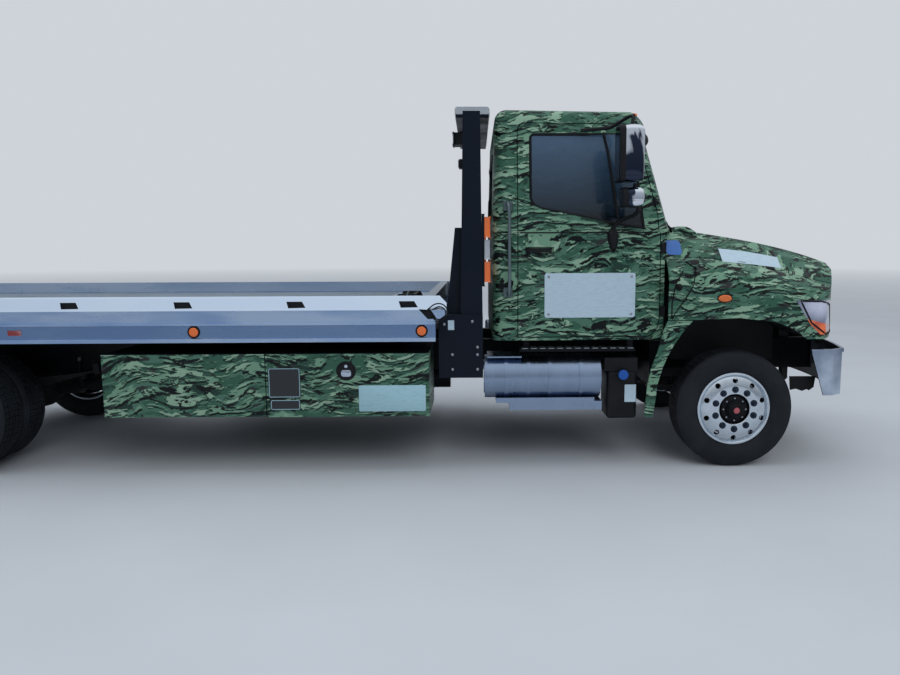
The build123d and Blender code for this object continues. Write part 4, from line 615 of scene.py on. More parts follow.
# half of the tyre's section: distance from its middle, radius
half_tyre = [(93, 247.5), (93, 262), (97, 268), (104, 276), (110, 286), (113, 291), (113, 295), (117, 302),
             (121, 320), (124, 342), (123.5, 356), (121, 364), (121, 368), (117, 384), (111, 398), (107, 402),
             (107, 408), (101, 413), (93, 416), (90, TREAD_BASE + 1), (86, TREAD_BASE)]
tyre_section = [(-y, r) for y, r in half_tyre] + half_tyre[::-1]
RIM_FLANGE = 260.5
barrel_section = [
    (-102, RIM_FLANGE - 3), (-100, RIM_FLANGE), (-94, RIM_FLANGE), (-93.3, 247), (-40, 243), (-30, 225),
    (30, 225), (40, 243), (93.3, 247), (94, RIM_FLANGE), (100, RIM_FLANGE), (102, RIM_FLANGE - 3), (102, 246),
    (98, 240), (90, 236), (44, 232), (34, 214), (-34, 214), (-44, 232), (-90, 236), (-98, 240), (-102, 246),
]
# the disc's section, from its root on the barrel to its bore: distance from its outer face, radius
disc_section = [
    (-30, 240), (-22, 234), (-12, 216), (-5, 192), (-1.5, 178), (0, 169), (0, 112), (-3, 108), (-18, 108),
    (-18, 168), (-22, 180), (-29, 203), (-38, 222), (-46, 236), (-46, 240),
]
HAND_CIRCLE, HAND_RADIUS, HAND_HOLES = 207.0, 19.0, 10
NUT_CIRCLE, NUT_RADIUS, NUTS = 143.0, 19.0, 10
HUB_BOLTS = 8
FRONT_DISC = 118.0


def tyre(name, body, x, middles, replaced):
    """A tyre or a pair: turned sidewalls and base, and rings of tread ribs cut by sipes."""
    walls = Shape()
    for y in middles:
        walls.turned(tyre_section, (x, y, WHEEL_Z), steps=120, hollow=True)
    made(name, walls, TYRE_RUBBER, body, replaced)
    long = tau * TYRE_RADIUS / TREAD_PITCHES / 2
    for i, y in enumerate(middles):
        pitch = Shape()
        for low, high in tread_ribs:
            skew = 7.0 if low < -30 or low > 40 else 0.0
            for start, end in ((-long + 2.5, -1.2), (1.2, long - 2.5)):
                corners = ((start, low), (start, high), (end, high), (end, low))
                top = [(a + skew * (b > 0), b) for a, b in corners]
                rings = [[(a * (0.985 if r == TYRE_RADIUS else 0.97), b, sqrt(r * r - a * a)) for a, b in top]
                         for r in (TREAD_BASE - 2, TYRE_RADIUS - 2, TYRE_RADIUS)]
                pitch.skin(rings)
        repeated(f"{name}_tread_{i + 1}", pitch, TYRE_RUBBER, body, TREAD_PITCHES, turn=tau / TREAD_PITCHES,
                 centre=(x, y, WHEEL_Z))


def rim_shape(shape, holes, x, y, face):
    """A rim whose disc has its outer face at a distance from the rim's middle; holes collects its cutters."""
    out = 1 if face > 0 else -1
    shape.turned(barrel_section, (x, y, WHEEL_Z), steps=120, hollow=True)
    shape.turned([(face + out * along, radius) for along, radius in disc_section], (x, y, WHEEL_Z),
                 steps=120, hollow=True)
    for i in range(HAND_HOLES):
        turn = tau * (i + 0.5) / HAND_HOLES
        middle = (x + HAND_CIRCLE * cos(turn), y + face - out * 30, WHEEL_Z + HAND_CIRCLE * sin(turn))
        holes.turned([(-70, 0), (-70, HAND_RADIUS), (70, HAND_RADIUS), (70, 0)], middle, steps=28)


def wheel_nuts(name, body, x, y, sign):
    """Ten flanged nuts with their studs."""
    nut = Shape()
    nut.turned(nut_profile(NUT_RADIUS, 22, 0.55, 0.35), (0, 0, NUT_CIRCLE), steps=6, sign=sign)
    nut.turned([(0, 0), (0, 24), (3, 24), (5, 20), (5, 0)], (0, 0, NUT_CIRCLE), steps=20, sign=sign)
    repeated(name, nut, DARK_NUTS, body, NUTS, turn=tau / NUTS, centre=(x, y, WHEEL_Z))


def rims(name, body, x, faces, replaced):
    """One rim or a pair on an axle; faces lists each rim's middle and how far out its disc stands."""
    alloy, holes = Shape(), Shape()
    for y, face in faces:
        rim_shape(alloy, holes, x, y, face)
    piece = settled(name, alloy, WHEEL_ALLOY, lambda p: at(*p))
    pierced(piece, holes)
    fixed(piece, body, replaced)


def hub_bolts(name, body, x, y, circle, sign):
    """Eight small nuts on a hub's face."""
    bolt = Shape().turned(nut_profile(7, 6, 0.4, 0.1), (0, 0, circle), steps=6, sign=sign)
    repeated(name, bolt, BRIGHT_STEEL, body, HUB_BOLTS, turn=tau / HUB_BOLTS, centre=(x, y, WHEEL_Z))


# sections of turned pieces: distance outward from the wheel's middle, radius
front_hub = [(60, 0), (60, 104), (86, 104), (90, 96), (108, 96), (112, 90), (116, 66), (136, 62), (138, 58),
             (150, 54), (152, 44), (156, 41), (159, 36), (159, 0)]
rear_hub = [(-110, 0), (-110, 104), (60, 104), (66, 98), (90, 94), (96, 82), (196, 80), (198, 92), (210, 92),
            (215, 86), (215, 0)]
oil_window = [(158, 0), (158, 22), (161.5, 21), (163, 17), (163, 0)]
front_drum = [(-25, 90), (-25, 197), (-22, 200), (0, 200), (6, 193), (6, 150), (12, 80), (60, 80), (60, 60),
              (-17, 60), (-17, 90)]
rear_drum = [(-110, 90), (-110, 198), (-114, 204), (-211, 205), (-215, 202), (-215, 191), (-125, 190),
             (-122, 90)]
for side, sign in SIDES:
    body, y = f"wheel_front_{side}", sign * FRONT_MIDDLE
    centre = (0, y, WHEEL_Z)
    tyre(f"tyre_front_{side}_rubber", body, 0, [y], (f"tyre_front_{side}",))
    rims(f"rim_front_{side}_alloy", body, 0, [(y, sign * FRONT_DISC)], (f"rim_front_{side}",))
    wheel_nuts(f"nuts_front_{side}", body, 0, y + sign * FRONT_DISC, sign)
    turned_piece(f"hub_front_{side}", HUB_BLACK, body, front_hub, centre, steps=64, sign=sign)
    hub_bolts(f"hub_bolts_front_{side}", body, 0, y + sign * 111, 80, sign)
    turned_piece(f"oil_window_front_{side}", PINK_OIL, body, oil_window, centre, steps=32, sign=sign)
    turned_piece(f"brake_drum_front_{side}", DRUM_RUST, body, front_drum, centre, steps=72, hollow=True,
                 sign=sign)

    body, y = f"wheels_rear_{side}", sign * REAR_MIDDLE
    centre = (REAR, y, WHEEL_Z)
    half = DUAL_SPACING / 2
    outer, inner = y + sign * half, y - sign * half
    tyre(f"tyres_rear_{side}_rubber", body, REAR, [outer, inner], (f"tyres_rear_{side}",))
    rims(f"rims_rear_{side}_alloy", body, REAR, [(outer, -sign * (half - 1)), (inner, sign * (half - 1))],
         (f"rims_rear_{side}",))
    wheel_nuts(f"nuts_rear_{side}", body, REAR, y + sign * 19, sign)
    turned_piece(f"hub_rear_{side}", HUB_BLACK, body, rear_hub, centre, steps=64, sign=sign)
    hub_bolts(f"hub_bolts_rear_{side}", body, REAR, y + sign * 208, 74, sign)
    turned_piece(f"brake_drum_rear_{side}", DRUM_RUST, body, rear_drum, centre, steps=72, hollow=True,
                 sign=sign)


# Skins of the nodes, for pieces that lie on them
class Skin:
    """Finds where a straight line meets the surface of some nodes, all in a table's millimetres."""

    def __init__(self, *names):
        self.trees = []
        for name in names:
            data = nodes[name].data
            self.trees.append(BVHTree.FromPolygons([v.co[:] for v in data.vertices],
                                                   [tuple(p.vertices) for p in data.polygons]))

    def meets(self, start, way):
        """The first point and outward direction met from a start along a way, or None."""
        best = None
        for tree in self.trees:
            place, normal, _, distance = tree.ray_cast(at(*start), Vector(way))
            if place is not None and (best is None or distance < best[2]):
                best = (place, normal, distance)
        if best is None:
            return None
        place, normal = best[0], best[1]
        if normal.dot(Vector(way)) > 0:
            normal = -normal
        return Vector(((place.x - AXLE_X) * 1000, place.y * 1000, place.z * 1000)), normal

    def beside(self, x, z, sign, lift):
        """The surface seen from the left or right side at (x, z), lifted off along its normal."""
        place, normal = self.meets((x, sign * 2000, z), (0, -sign, 0))
        return place + normal * lift

    def ahead(self, y, z, lift):
        """The surface seen from the front at (y, z)."""
        place, normal = self.meets((2500, y, z), (-1, 0, 0))
        return place + normal * lift

    def above(self, x, y):
        """The surface seen from above at (x, y)."""
        return self.meets((x, y, 4000), (0, 0, -1))[0]


def along_edges(corners, gap):
    """Points every gap or so along the straight sides of an outline."""
    points = []
    for (a, b), (c, d) in zip(corners, corners[1:] + corners[:1]):
        parts = max(1, round(sqrt((c - a) ** 2 + (d - b) ** 2) / gap))
        points += [(a + (c - a) * i / parts, b + (d - b) * i / parts) for i in range(parts)]
    return points


def rounded(x, z, radius, inset=0):
    """A rectangle's outline between limits, drawn in by an inset, with round corners."""
    steps = 5
    x, z = [(low + inset, high - inset) for low, high in (x, z)]
    corners = ((x[1] - radius, z[1] - radius, 0), (x[0] + radius, z[1] - radius, 1),
               (x[0] + radius, z[0] + radius, 2), (x[1] - radius, z[0] + radius, 3))
    return [(a + radius * cos((q + i / steps) * pi / 2), b + radius * sin((q + i / steps) * pi / 2))
            for a, b, q in corners for i in range(steps + 1)]


def middle_of(outline):
    """The mean of an outline's points."""
    return [sum(levels) / len(outline) for levels in zip(*outline)]


def laid_plate(skin, outline, sign, thick, rows=6):
    """A thin closed plate that follows a side's surface inside an outline without hollows."""
    a, b = middle_of(outline)
    outward = [i / rows for i in range(rows + 1)]
    rings = []
    for lift, shares in ((thick, outward), (-1.0, [1 - share for share in outward])):
        for share in shares:
            rings.append([skin.beside(a + (x - a) * share, b + (z - b) * share, sign, lift)
                          for x, z in outline])
    return Shape().skin(rings, capped=False)


def bolt_heads(shape, places, sign, radius, height, sides=12):
    """Round headed bolts standing on the left or right side of something."""
    head = [(-1, 0), (0, radius), (height * 0.5, radius * 0.92), (height, radius * 0.5), (height, 0)]
    for place in places:
        shape.turned(head, place, steps=sides, sign=sign)


WINDOW = [
    (-1460, 2330), (-1455, 2348), (-1440, 2357), (-720, 2362), (-713, 2352), (-641, 1701), (-901, 1743),
    (-1382, 1840), (-1412, 1852), (-1440, 1872), (-1454, 1892), (-1460, 1916),
]
DIVISION_BAR = ((-927, 2356), (-899, 2237), (-864, 1991), (-828, 1735))
SCREEN = [(-895, 1715), (895, 1715), (785, 2385), (-785, 2385)]
BACK_WINDOW = [(-640, 1800), (640, 1800), (600, 2250), (-600, 2250)]
door_skins = {side: Skin(f"door_{side}", f"door_glass_{side}") for side, _ in SIDES}
cab_skin = Skin("cab_shell", "cab_glass")
hood_skin = Skin("hood_shell", "headlamps", "grille")

# Cab sides: rubbers, division bars, handles and the blank door plates
for side, sign in SIDES:
    skin, body = door_skins[side], f"door_{side}"
    rubber = Shape()
    centre = (-1080, 2050)
    inset = [(x + (9 if x < centre[0] else -9) * (abs(x - centre[0]) > 300), z) for x, z in WINDOW]
    rubber.bar([skin.beside(x, z, sign, -4) for x, z in along_edges(inset, 60)], 12.0, 8, closed=True)
    rubber.bar([skin.beside(x, z, sign, 2) for x, z in DIVISION_BAR], 10.0, 8)
    made(f"window_rubber_{side}", rubber, BLACK_RUBBER, body)
    pull = Shape()
    pull.box((-1478, -1306), (sign * 1018, sign * 1036), (1534, 1562), soft=6)
    pull.box((-1478, -1456), (sign * 1010, sign * 1030), (1520, 1562), soft=4)
    pull.turned([(0, 0), (0, 11), (8, 11), (10, 9), (10, 0)], (-1388, sign * 1018, 1520), steps=20, sign=sign)
    made(f"door_handle_{side}", pull, BLACK_PLASTIC, body)
    grab = Shape()
    grab.bar([(-1616, sign * 1036, 1868), (-1612, sign * 1084, 1866), (-1608, sign * 1098, 1846),
              (-1603, sign * 1100, 1780), (-1603, sign * 1102, 1320), (-1606, sign * 1098, 1262),
              (-1608, sign * 1086, 1246), (-1610, sign * 1036, 1244)], 12.0, 12)
    for z in (1856, 1256):
        grab.box((-1644, -1580), (sign * 1032, sign * 1046), (z - 34, z + 34), soft=4)
        bolt_heads(grab, [(-1612, sign * 1046, z + dz) for dz in (-22, 22)], sign, 7, 4)
    made(f"grab_handle_{side}", grab, GRAB_GREY, "chassis")
    plate = laid_plate(skin, rounded((-1354, -711), (1075, 1389), 18), sign, 3.0)
    made(f"door_plate_{side}", plate, WHITE_PLATE, body)
    screws = Shape()
    for x in (-1325, -738):
        for z in (1098, 1364):
            place = skin.beside(x, z, sign, 3)
            bolt_heads(screws, [tuple(place)], sign, 10, 5)
    made(f"door_plate_screws_{side}", screws, BRIGHT_STEEL, body)
    seam = Shape()
    strip = [skin.beside(x, 1671, sign, 1.5) for x in (-1530, -1400, -1200, -1000, -800, -560)]
    seam.bar(strip, 4.5, 6)
    made(f"belt_seam_{side}", seam, BLACK_RUBBER, body)
    hinges = Shape()
    for z in (1120, 1560):
        hinges.box((-536, -500), (sign * 1006, sign * 1030), (z - 36, z + 36), soft=5)
    made(f"door_hinges_{side}", hinges, BLACK_PLASTIC, "chassis")

# Mirrors: chrome covers, dark backs with their glass, curved arms and feet
# columns: X, Y and Z limits of a mirror's head, radius of its corners
mirror_heads = (((-892, -724), (1132, 1318), (1996, 2366), 34),
                ((-862, -714), (1152, 1298), (1830, 1964), 40))
for side, sign in SIDES:
    covers, backs, panes = Shape(), Shape(), Shape()
    for x, y, z, turn in mirror_heads:
        rings = []
        for share, inset in ((0.0, 6.0), (0.35, 0.0), (0.75, 3.0), (0.92, 12.0), (1.0, 30.0)):
            level = x[0] + 34 + share * (x[1] - x[0] - 34)
            rings.append([(level, sign * a, b) for a, b in rounded(y, z, max(turn - inset / 2, 14), inset)])
        covers.skin(rings)
        backs.prism([(sign * a, b) for a, b in rounded(y, z, turn, 2)], "X", x[0], x[0] + 40, soft=4)
        panes.prism([(sign * a, b) for a, b in rounded(y, z, turn - 8, 14)], "X", x[0] - 2, x[0] + 6)
    holder = f"door_{side}"
    made(f"mirror_{side}_covers", covers, MIRROR_CHROME, holder, (f"mirror_{side}",))
    arms = Shape()
    arms.bar([(-800, sign * 1225, 2355), (-792, sign * 1215, 2400), (-780, sign * 1190, 2436),
              (-800, sign * 1140, 2440), (-850, sign * 1040, 2416), (-885, sign * 975, 2398),
              (-930, sign * 945, 2388)], 12.0, 10)
    arms.bar([(-905, sign * 962, 2392), (-1000, sign * 950, 2386), (-1100, sign * 936, 2380)], 13.0, 10)
    arms.bar([(-770, sign * 1225, 1990), (-770, sign * 1225, 1950)], 14.0, 10)
    arms.bar([(-750, sign * 1222, 1840), (-740, sign * 1215, 1812), (-762, sign * 1180, 1782),
              (-810, sign * 1110, 1762), (-850, sign * 1060, 1742), (-872, sign * 1036, 1712),
              (-880, sign * 1024, 1680)], [15, 15, 14, 13, 13, 15, 20], 12)
    arms.bar([(-878, sign * 1022, 1690), (-877, sign * 1026, 1660), (-874, sign * 1026, 1610),
              (-871, sign * 1024, 1560), (-870, sign * 1020, 1545)], [22, 40, 36, 24, 10], 16)
    made(f"mirror_{side}_arms", arms, BLACK_PLASTIC, holder)
    made(f"mirror_{side}_backs", backs, BLACK_PLASTIC, holder)
    made(f"mirror_{side}_panes", panes, MIRROR_GLASS, holder)

# Windscreen and back window rubbers, wipers and roof marker lamps
rubber = Shape()
rubber.bar([cab_skin.ahead(y * 0.992, z, -2) for y, z in along_edges(SCREEN, 70)], 13.0, 8, closed=True)
back = [cab_skin.meets((-3000, y, z), (1, 0, 0)) for y, z in along_edges(BACK_WINDOW, 90)]
rubber.bar([place + normal * -2 for place, normal in back], 12.0, 8, closed=True)
made("window_seals", rubber, BLACK_RUBBER, "chassis")
wipers = Shape()
for y0 in (-560, 60):
    foot = cab_skin.ahead(y0, 1700, 6)
    reach = [cab_skin.ahead(y0 + 470 * t, 1735 + 40 * t * (1 - t) * 4, 16) for t in (0.15, 0.5, 0.85)]
    wipers.bar([foot] + reach, 6.0, 8)
    blade = [cab_skin.ahead(y0 + 60 + 480 * t, 1752 + 26 * sin(pi * t), 12) for t in (0, 0.25, 0.5, 0.75, 1)]
    wipers.bar(blade, 7.0, 6)
    wipers.turned([(0, 0), (0, 22), (24, 18), (26, 0)], tuple(foot - Vector((10, 0, 0))), "X", steps=16)
made("wipers", wipers, BLACK_PLASTIC, "chassis")
markers = Shape()
for y in (-620, -180, 0, 180, 620):
    place = cab_skin.above(-600 - abs(y) * 0.12, y)
    rings = []
    for rise, share in ((-4, 1.0), (6, 1.0), (15, 0.82), (19, 0.45)):
        outline = rounded((place.x - 55 * share, place.x + 38 * share), (y - 22 * share, y + 22 * share),
                          12 * share)
        rings.append([(a, b, place.z + rise) for a, b in outline])
    markers.skin(rings)
made("roof_marker_lamps", markers, AMBER_LENS, "chassis")

# Hood: plates, latches with the rim of their leaf, side markers and grille mesh
HOOD_PLATE = [(-84, 1556), (0, 1548), (150, 1530), (300, 1505), (378, 1490), (376, 1412), (300, 1424),
              (150, 1442), (0, 1456), (-84, 1464)]
# the air leaf's outline, held on the hood where its back edge runs past it
LEAF_BACK = -470
LEAF = [(max(x, LEAF_BACK), z) for x, z in (
    (-353, 1465), (-296, 1423), (-321, 1306), (-388, 1194), (-468, 1069), (-504, 1083), (-499, 1181),
    (-447, 1320))]
for side, sign in SIDES:
    plate = laid_plate(hood_skin, HOOD_PLATE, sign, 1.5, 5)
    made(f"hood_plate_{side}", plate, WHITE_PLATE, "hood")
    sticker = laid_plate(hood_skin, rounded((-478, -366), (1513, 1615), 24), sign, 1.5, 5)
    made(f"hood_sticker_{side}", sticker, BLUE_PLATE, "hood")
    leaf = Shape()
    leaf.bar([hood_skin.beside(x, z, sign, 1) for x, z in along_edges(LEAF, 40)], 5.0, 6, closed=True)
    knob = hood_skin.beside(-424, 1290, sign, 0)
    leaf.turned([(0, 0), (0, 24), (10, 22), (14, 12), (26, 12), (30, 8), (30, 0)], tuple(knob), steps=24,
                sign=sign)
    made(f"hood_latch_{side}", leaf, BLACK_RUBBER, "hood")
    marker, base = Shape(), Shape()
    place = hood_skin.beside(-104, 1212, sign, 0)
    for shape, depth, w, h in ((base, 4, 54, 32), (marker, 16, 46, 25)):
        rings = []
        for rise, share in ((-6, 1.0), (depth * 0.6, 1.0), (depth, 0.75)):
            rings.append([(place.x + w * share * cos(t * tau / 20), place.y + sign * rise,
                           place.z + h * share * sin(t * tau / 20)) for t in range(20)])
        shape.skin(rings)
    made(f"side_marker_{side}", marker, AMBER_LENS, "hood")
    made(f"side_marker_base_{side}", base, BLACK_RUBBER, "hood")
mesh = Shape()
mesh.prism([(-515, 968), (515, 968), (552, 1232), (-552, 1232)], "X", 818, 824)
made("grille_mesh", mesh, BLACK_PLASTIC, "hood")

# Bumper: blank plate and the shields under its ends
front = Shape()
front.prism(rounded((-155, 155), (600, 752), 10), "X", 938, 945, soft=1)
made("blank_number_plate", front, WHITE_PLATE, "chassis")
END_SHIELD = [(420, 640), (610, 640), (600, 560), (566, 536), (548, 545), (516, 532), (470, 548), (428, 540)]
flaps = Shape()
for _, sign in SIDES:
    flaps.prism(END_SHIELD, "Y", sign * 1010, sign * 1016)
made("bumper_end_shields", flaps, BLACK_RUBBER, "chassis")

# Pylon: bolts, blank label, stacked lamps behind the cab and work lamps on the head
PYLON_SIDE = 1100
PYLON_BOLTS = ((-2005, 825), (-1829, 877), (-1829, 824), (-1864, 1058), (-2060, 1040), (-2005, 720),
               (-1829, 720))
for side, sign in SIDES:
    bolts = Shape()
    bolt_heads(bolts, [(x, sign * PYLON_SIDE, z) for x, z in PYLON_BOLTS], sign, 12, 7, 6)
    made(f"pylon_bolts_{side}", bolts, BRIGHT_STEEL, "chassis")
    label = Shape().box((-2033, -1990), (sign * (PYLON_SIDE - 1), sign * (PYLON_SIDE + 1.5)), (1000, 1067),
                        soft=0.8)
    made(f"pylon_label_{side}", label, WHITE_PLATE, "chassis")
    stack, case = Shape(), Shape()
    for height in ((1640, 1780), (1330, 1470)):
        stack.box((-1782, -1736), (sign * 980, sign * 1060), height, soft=8)
    made(f"stacked_amber_lamps_{side}", stack, AMBER_LENS, "chassis")
    clear = Shape().box((-1782, -1738), (sign * 980, sign * 1060), (1488, 1622), soft=8)
    made(f"stacked_clear_lamp_{side}", clear, CLEAR_LENS, "chassis")
    case.box((-1795, -1776), (sign * 972, sign * 1068), (1300, 1800), soft=4)
    made(f"lamp_stack_case_{side}", case, PYLON_BLACK, "chassis")
    work = Shape()
    work.box((-1990, -1920), (sign * 700, sign * 820), (2300, 2385), soft=10)
    work.bar([(-1915, sign * 760, 2400), (-1950, sign * 760, 2392), (-1955, sign * 760, 2370)], 9.0, 8)
    made(f"work_lamp_case_{side}", work, BLACK_PLASTIC, "chassis")
    face = Shape().box((-1996, -1986), (sign * 710, sign * 810), (2310, 2375), soft=4)
    made(f"work_lamp_{side}", face, CLEAR_LENS, "chassis")

# Tanks and steps: caps, a blank label and the steps' treads
turned_piece("fluid_tank_cap", BLUE_CAP, "chassis",
             [(0, 0), (0, 36), (-20, 36), (-24, 32), (-24, 0)], (-796, -1070, 670), steps=12)
label = Shape().box((-779, -698), (-1049, -1052), (469, 595), soft=1)
made("fluid_tank_label", label, WHITE_PLATE, "chassis")
cap = Shape()
cap.bar([(-1660, 905, 851), (-1660, 930, 881), (-1660, 934, 886)], [46, 46, 40], 20)
made("fuel_cap", cap, BLACK_PLASTIC, "chassis")
for side, sign in SIDES:
    tread = Shape()
    for y in (1000, 1032, 1064, 1090):
        tread.box((-1515, -1475), (sign * (y - 5), sign * (y + 5)), (860, 868), soft=2)
    repeated(f"step_tread_{side}", tread, BRIGHT_STEEL, "chassis", 13, step=(62, 0, 0))

# Toolbox doors: latches, blank plates and panels
TOOLBOX_SKIN = 1179
LATCH_X, LATCH_Z, LATCH_Y = -2736, 728, 1174
toolbox_panels = (((-3272, -3052), (543, 752)), ((-3262, -3056), (456, 530)))
for side, sign in SIDES:
    body = f"toolbox_door_{side}"
    x, z, y = LATCH_X, LATCH_Z, sign * LATCH_Y
    turned_piece(f"latch_cup_{side}", BLACK_PLASTIC, body,
                 [(-1, 0), (-1, 66), (4, 67), (6.5, 64), (6.5, 58), (1.5, 52), (0, 0)], (x, y, z), sign=sign)
    paddle = Shape()
    paddle.prism(rounded((x - 34, x + 34), (z - 40, z + 6), 14), "Y", y + sign * 1, y + sign * 6, soft=1.5)
    paddle.turned([(0, 0), (0, 12), (6, 11), (6, 0)], (x, y, z + 32), steps=20, sign=sign)
    made(f"latch_paddle_{side}", paddle, CHROME, body)
    plate = Shape().prism(rounded((-2651, -2189), (443, 626), 8), "Y", sign * TOOLBOX_SKIN,
                          sign * (TOOLBOX_SKIN + 3), soft=0.8)
    made(f"toolbox_plate_{side}", plate, PALE_PLATE, body)
    panel, border = Shape(), Shape()
    face = sign * (TOOLBOX_SKIN + 2.5)
    for (low, high), (bottom, top) in toolbox_panels:
        panel.prism(rounded((low, high), (bottom, top), 10), "Y", sign * TOOLBOX_SKIN, face)
        border.bar([(a, face, b) for a, b in rounded((low, high), (bottom, top), 8, 6)], 2.2, 6, closed=True)
    made(f"toolbox_panel_{side}", panel, DARK_PLATE, body)
    made(f"toolbox_panel_border_{side}", border, PALE_PLATE, body)

# Bed: rail lamps, black sheets as painted shade behind the slots and the rail's nose window, deck slats
RAIL_LAMPS, RAIL_LAMP_X, RAIL_LAMP_STEP, RAIL_LAMP_Z, RAIL_SIDE = 4, -2209, -1544, 1006, 1205
SLOTS, SLOT_X, SLOT_STEP = 8, -2300, -762
SLATS, SLAT_STEP = 46, 50.3
for side, sign in SIDES:
    for i in range(RAIL_LAMPS):
        place = (RAIL_LAMP_X + i * RAIL_LAMP_STEP, sign * RAIL_SIDE, RAIL_LAMP_Z)
        turned_piece(f"rail_lamp_{side}_{i + 1}", AMBER_LENS, "bed",
                     [(-2, 0), (-2, 31.5), (8, 31), (11, 26), (13, 14), (13, 0)], place, steps=40, sign=sign)
        turned_piece(f"rail_lamp_grommet_{side}_{i + 1}", BLACK_RUBBER, "bed",
                     [(-2, 31), (-2, 40), (6, 42), (10, 40), (10, 34), (7, 31)], place, steps=40, hollow=True,
                     sign=sign)
    # a black sheet inside the rail's hollow, painted shade behind the slots
    liner = Shape().box((-8400, -2110), (sign * 1162, sign * 1166), (1142, 1186), soft=0.8)
    made(f"slot_shade_liner_{side}", liner, BLACK_PLASTIC, "bed")
slat = Shape()
slat.box((-8145, -2602), (-1138, -1130), (1139, 1142), soft=1)
repeated("deck_slats", slat, DECK_ALUMINIUM, "bed", SLATS, step=(0, SLAT_STEP, 0))
SLOT = [(-64, 1207), (40, 1207), (66, 1168), (-48, 1166)]
NOSE_WINDOW = [(-2226, 1154), (-2145, 1149), (-2106, 1090), (-2165, 1088)]
for side, sign in SIDES:
    # black plugs in the slots, painted shade
    plug = Shape().prism([(SLOT_X + x, z) for x, z in SLOT], "Y", sign * 1170.3, sign * 1175)
    repeated(f"slot_shade_backs_{side}", plug, BLACK_PLASTIC, "bed", SLOTS, step=(SLOT_STEP, 0, 0))
    # a black plate behind the nose window, painted shade
    back = Shape().prism(NOSE_WINDOW, "Y", sign * 1190.4, sign * 1193)
    made(f"rail_nose_shade_{side}", back, BLACK_PLASTIC, "bed")

# Winch: two layers of wound rope and the clutch lever
def winding_group():
    """Turns of wire laid side by side on a drum that lies across the truck."""
    group = Group("wound_rope", (
        ("Piece", "Geometry"), ("Turns", "Float"), ("Radius", "Float"), ("Width", "Float"), ("Wire", "Float"),
        ("Centre", "Vector"), ("Finish", "Material")))
    given = group.given
    spiral = group.value("GeometryNodeCurveSpiral", {
        "Resolution": 24, "Rotations": given["Turns"], "Start Radius": given["Radius"],
        "End Radius": given["Radius"], "Height": given["Width"]})
    ring = group.value("GeometryNodeCurvePrimitiveCircle", {"Resolution": 8, "Radius": given["Wire"]})
    wire = group.value("GeometryNodeCurveToMesh", {"Curve": spiral, "Profile Curve": ring, "Fill Caps": True})
    return group.ends_in(group.value("GeometryNodeTransform", {"Geometry": wire, "Rotation": (pi / 2, 0, 0)}))


WINDING = winding_group()
WINCH_X, WINCH_Z = -2396, 1100
# columns: name, turns, radius of the wire's middle, width over all the turns
ROPE_LAYERS = (("winch_rope_winding", 28, 56, 344), ("winch_rope_top_layer", 27, 65.5, 334))
for name, turns, radius, width in ROPE_LAYERS:
    winding = bpy.data.objects.new(name, bpy.data.meshes.new(name))
    bpy.context.collection.objects.link(winding)
    WINDING.runs_on(winding, Turns=float(turns), Radius=radius / 1000, Width=width / 1000, Wire=5.5 / 1000,
                    Centre=tuple(at(WINCH_X, width / 2, WINCH_Z)), Finish=WIRE_ROPE).shade_smooth()
    fixed(winding, "winch_drum")
lever = Shape()
lever.bar([(-2396, -298, 1130), (-2396, -312, 1160), (-2380, -330, 1215), (-2370, -334, 1236)], 7, 10)
made("winch_clutch_lever", lever, BRIGHT_STEEL, "bed")

# Rear: lamp lenses, blank number plate, lift pins and rail reflectors
TAIL_LAMP_X, TAIL_LAMP_Z = -8006, 710
lenses, bezels, clear = Shape(), Shape(), Shape()
for sign in (-1, 1):
    for y, shape in ((790, lenses), (905, lenses), (1020, clear)):
        shape.turned([(0, 0), (0, 45), (-5, 44), (-9, 34), (-11, 0)], (TAIL_LAMP_X, sign * y, TAIL_LAMP_Z),
                     "X", steps=36)
        bezels.turned([(0, 44), (0, 52), (-6, 52), (-8, 49), (-8, 45)],
                      (TAIL_LAMP_X + 3, sign * y, TAIL_LAMP_Z), "X", steps=36, hollow=True)
made("tail_lamp_lenses", lenses, RED_LENS, "chassis")
made("reversing_lamp_lenses", clear, CLEAR_LENS, "chassis")
made("tail_lamp_grommets", bezels, BLACK_RUBBER, "chassis")
plate = Shape().prism(rounded((-570, -270), (620, 760), 10), "X", -7996, -7990.5, soft=0.8)
made("blank_rear_plate", plate, WHITE_PLATE, "chassis")
pins = Shape()
for y in (-760, 760):
    pins.turned([(0, 0), (0, 21), (26, 21), (30, 26), (44, 26), (48, 20), (48, 0)], (-8769, y, 612), "Z",
                steps=24)
made("fork_socket_pins", pins, BRIGHT_STEEL, "lift_crossbar")
turned_piece("swivel_pin_head", BRIGHT_STEEL, "lift_crossbar",
             [(0, 0), (0, 34), (10, 34), (14, 28), (14, 0)], (-8650, 0, 632), way="Z", steps=24)
marks = Shape()
for _, sign in SIDES:
    for x in (-8300, -5000):
        marks.box((x, x + 90), (sign * 1206, sign * 1208.5), (988, 1024), soft=1)
# the red lens's faint glow on these reflectors is a painted glow
made("rail_reflectors", marks, RED_LENS, "bed")

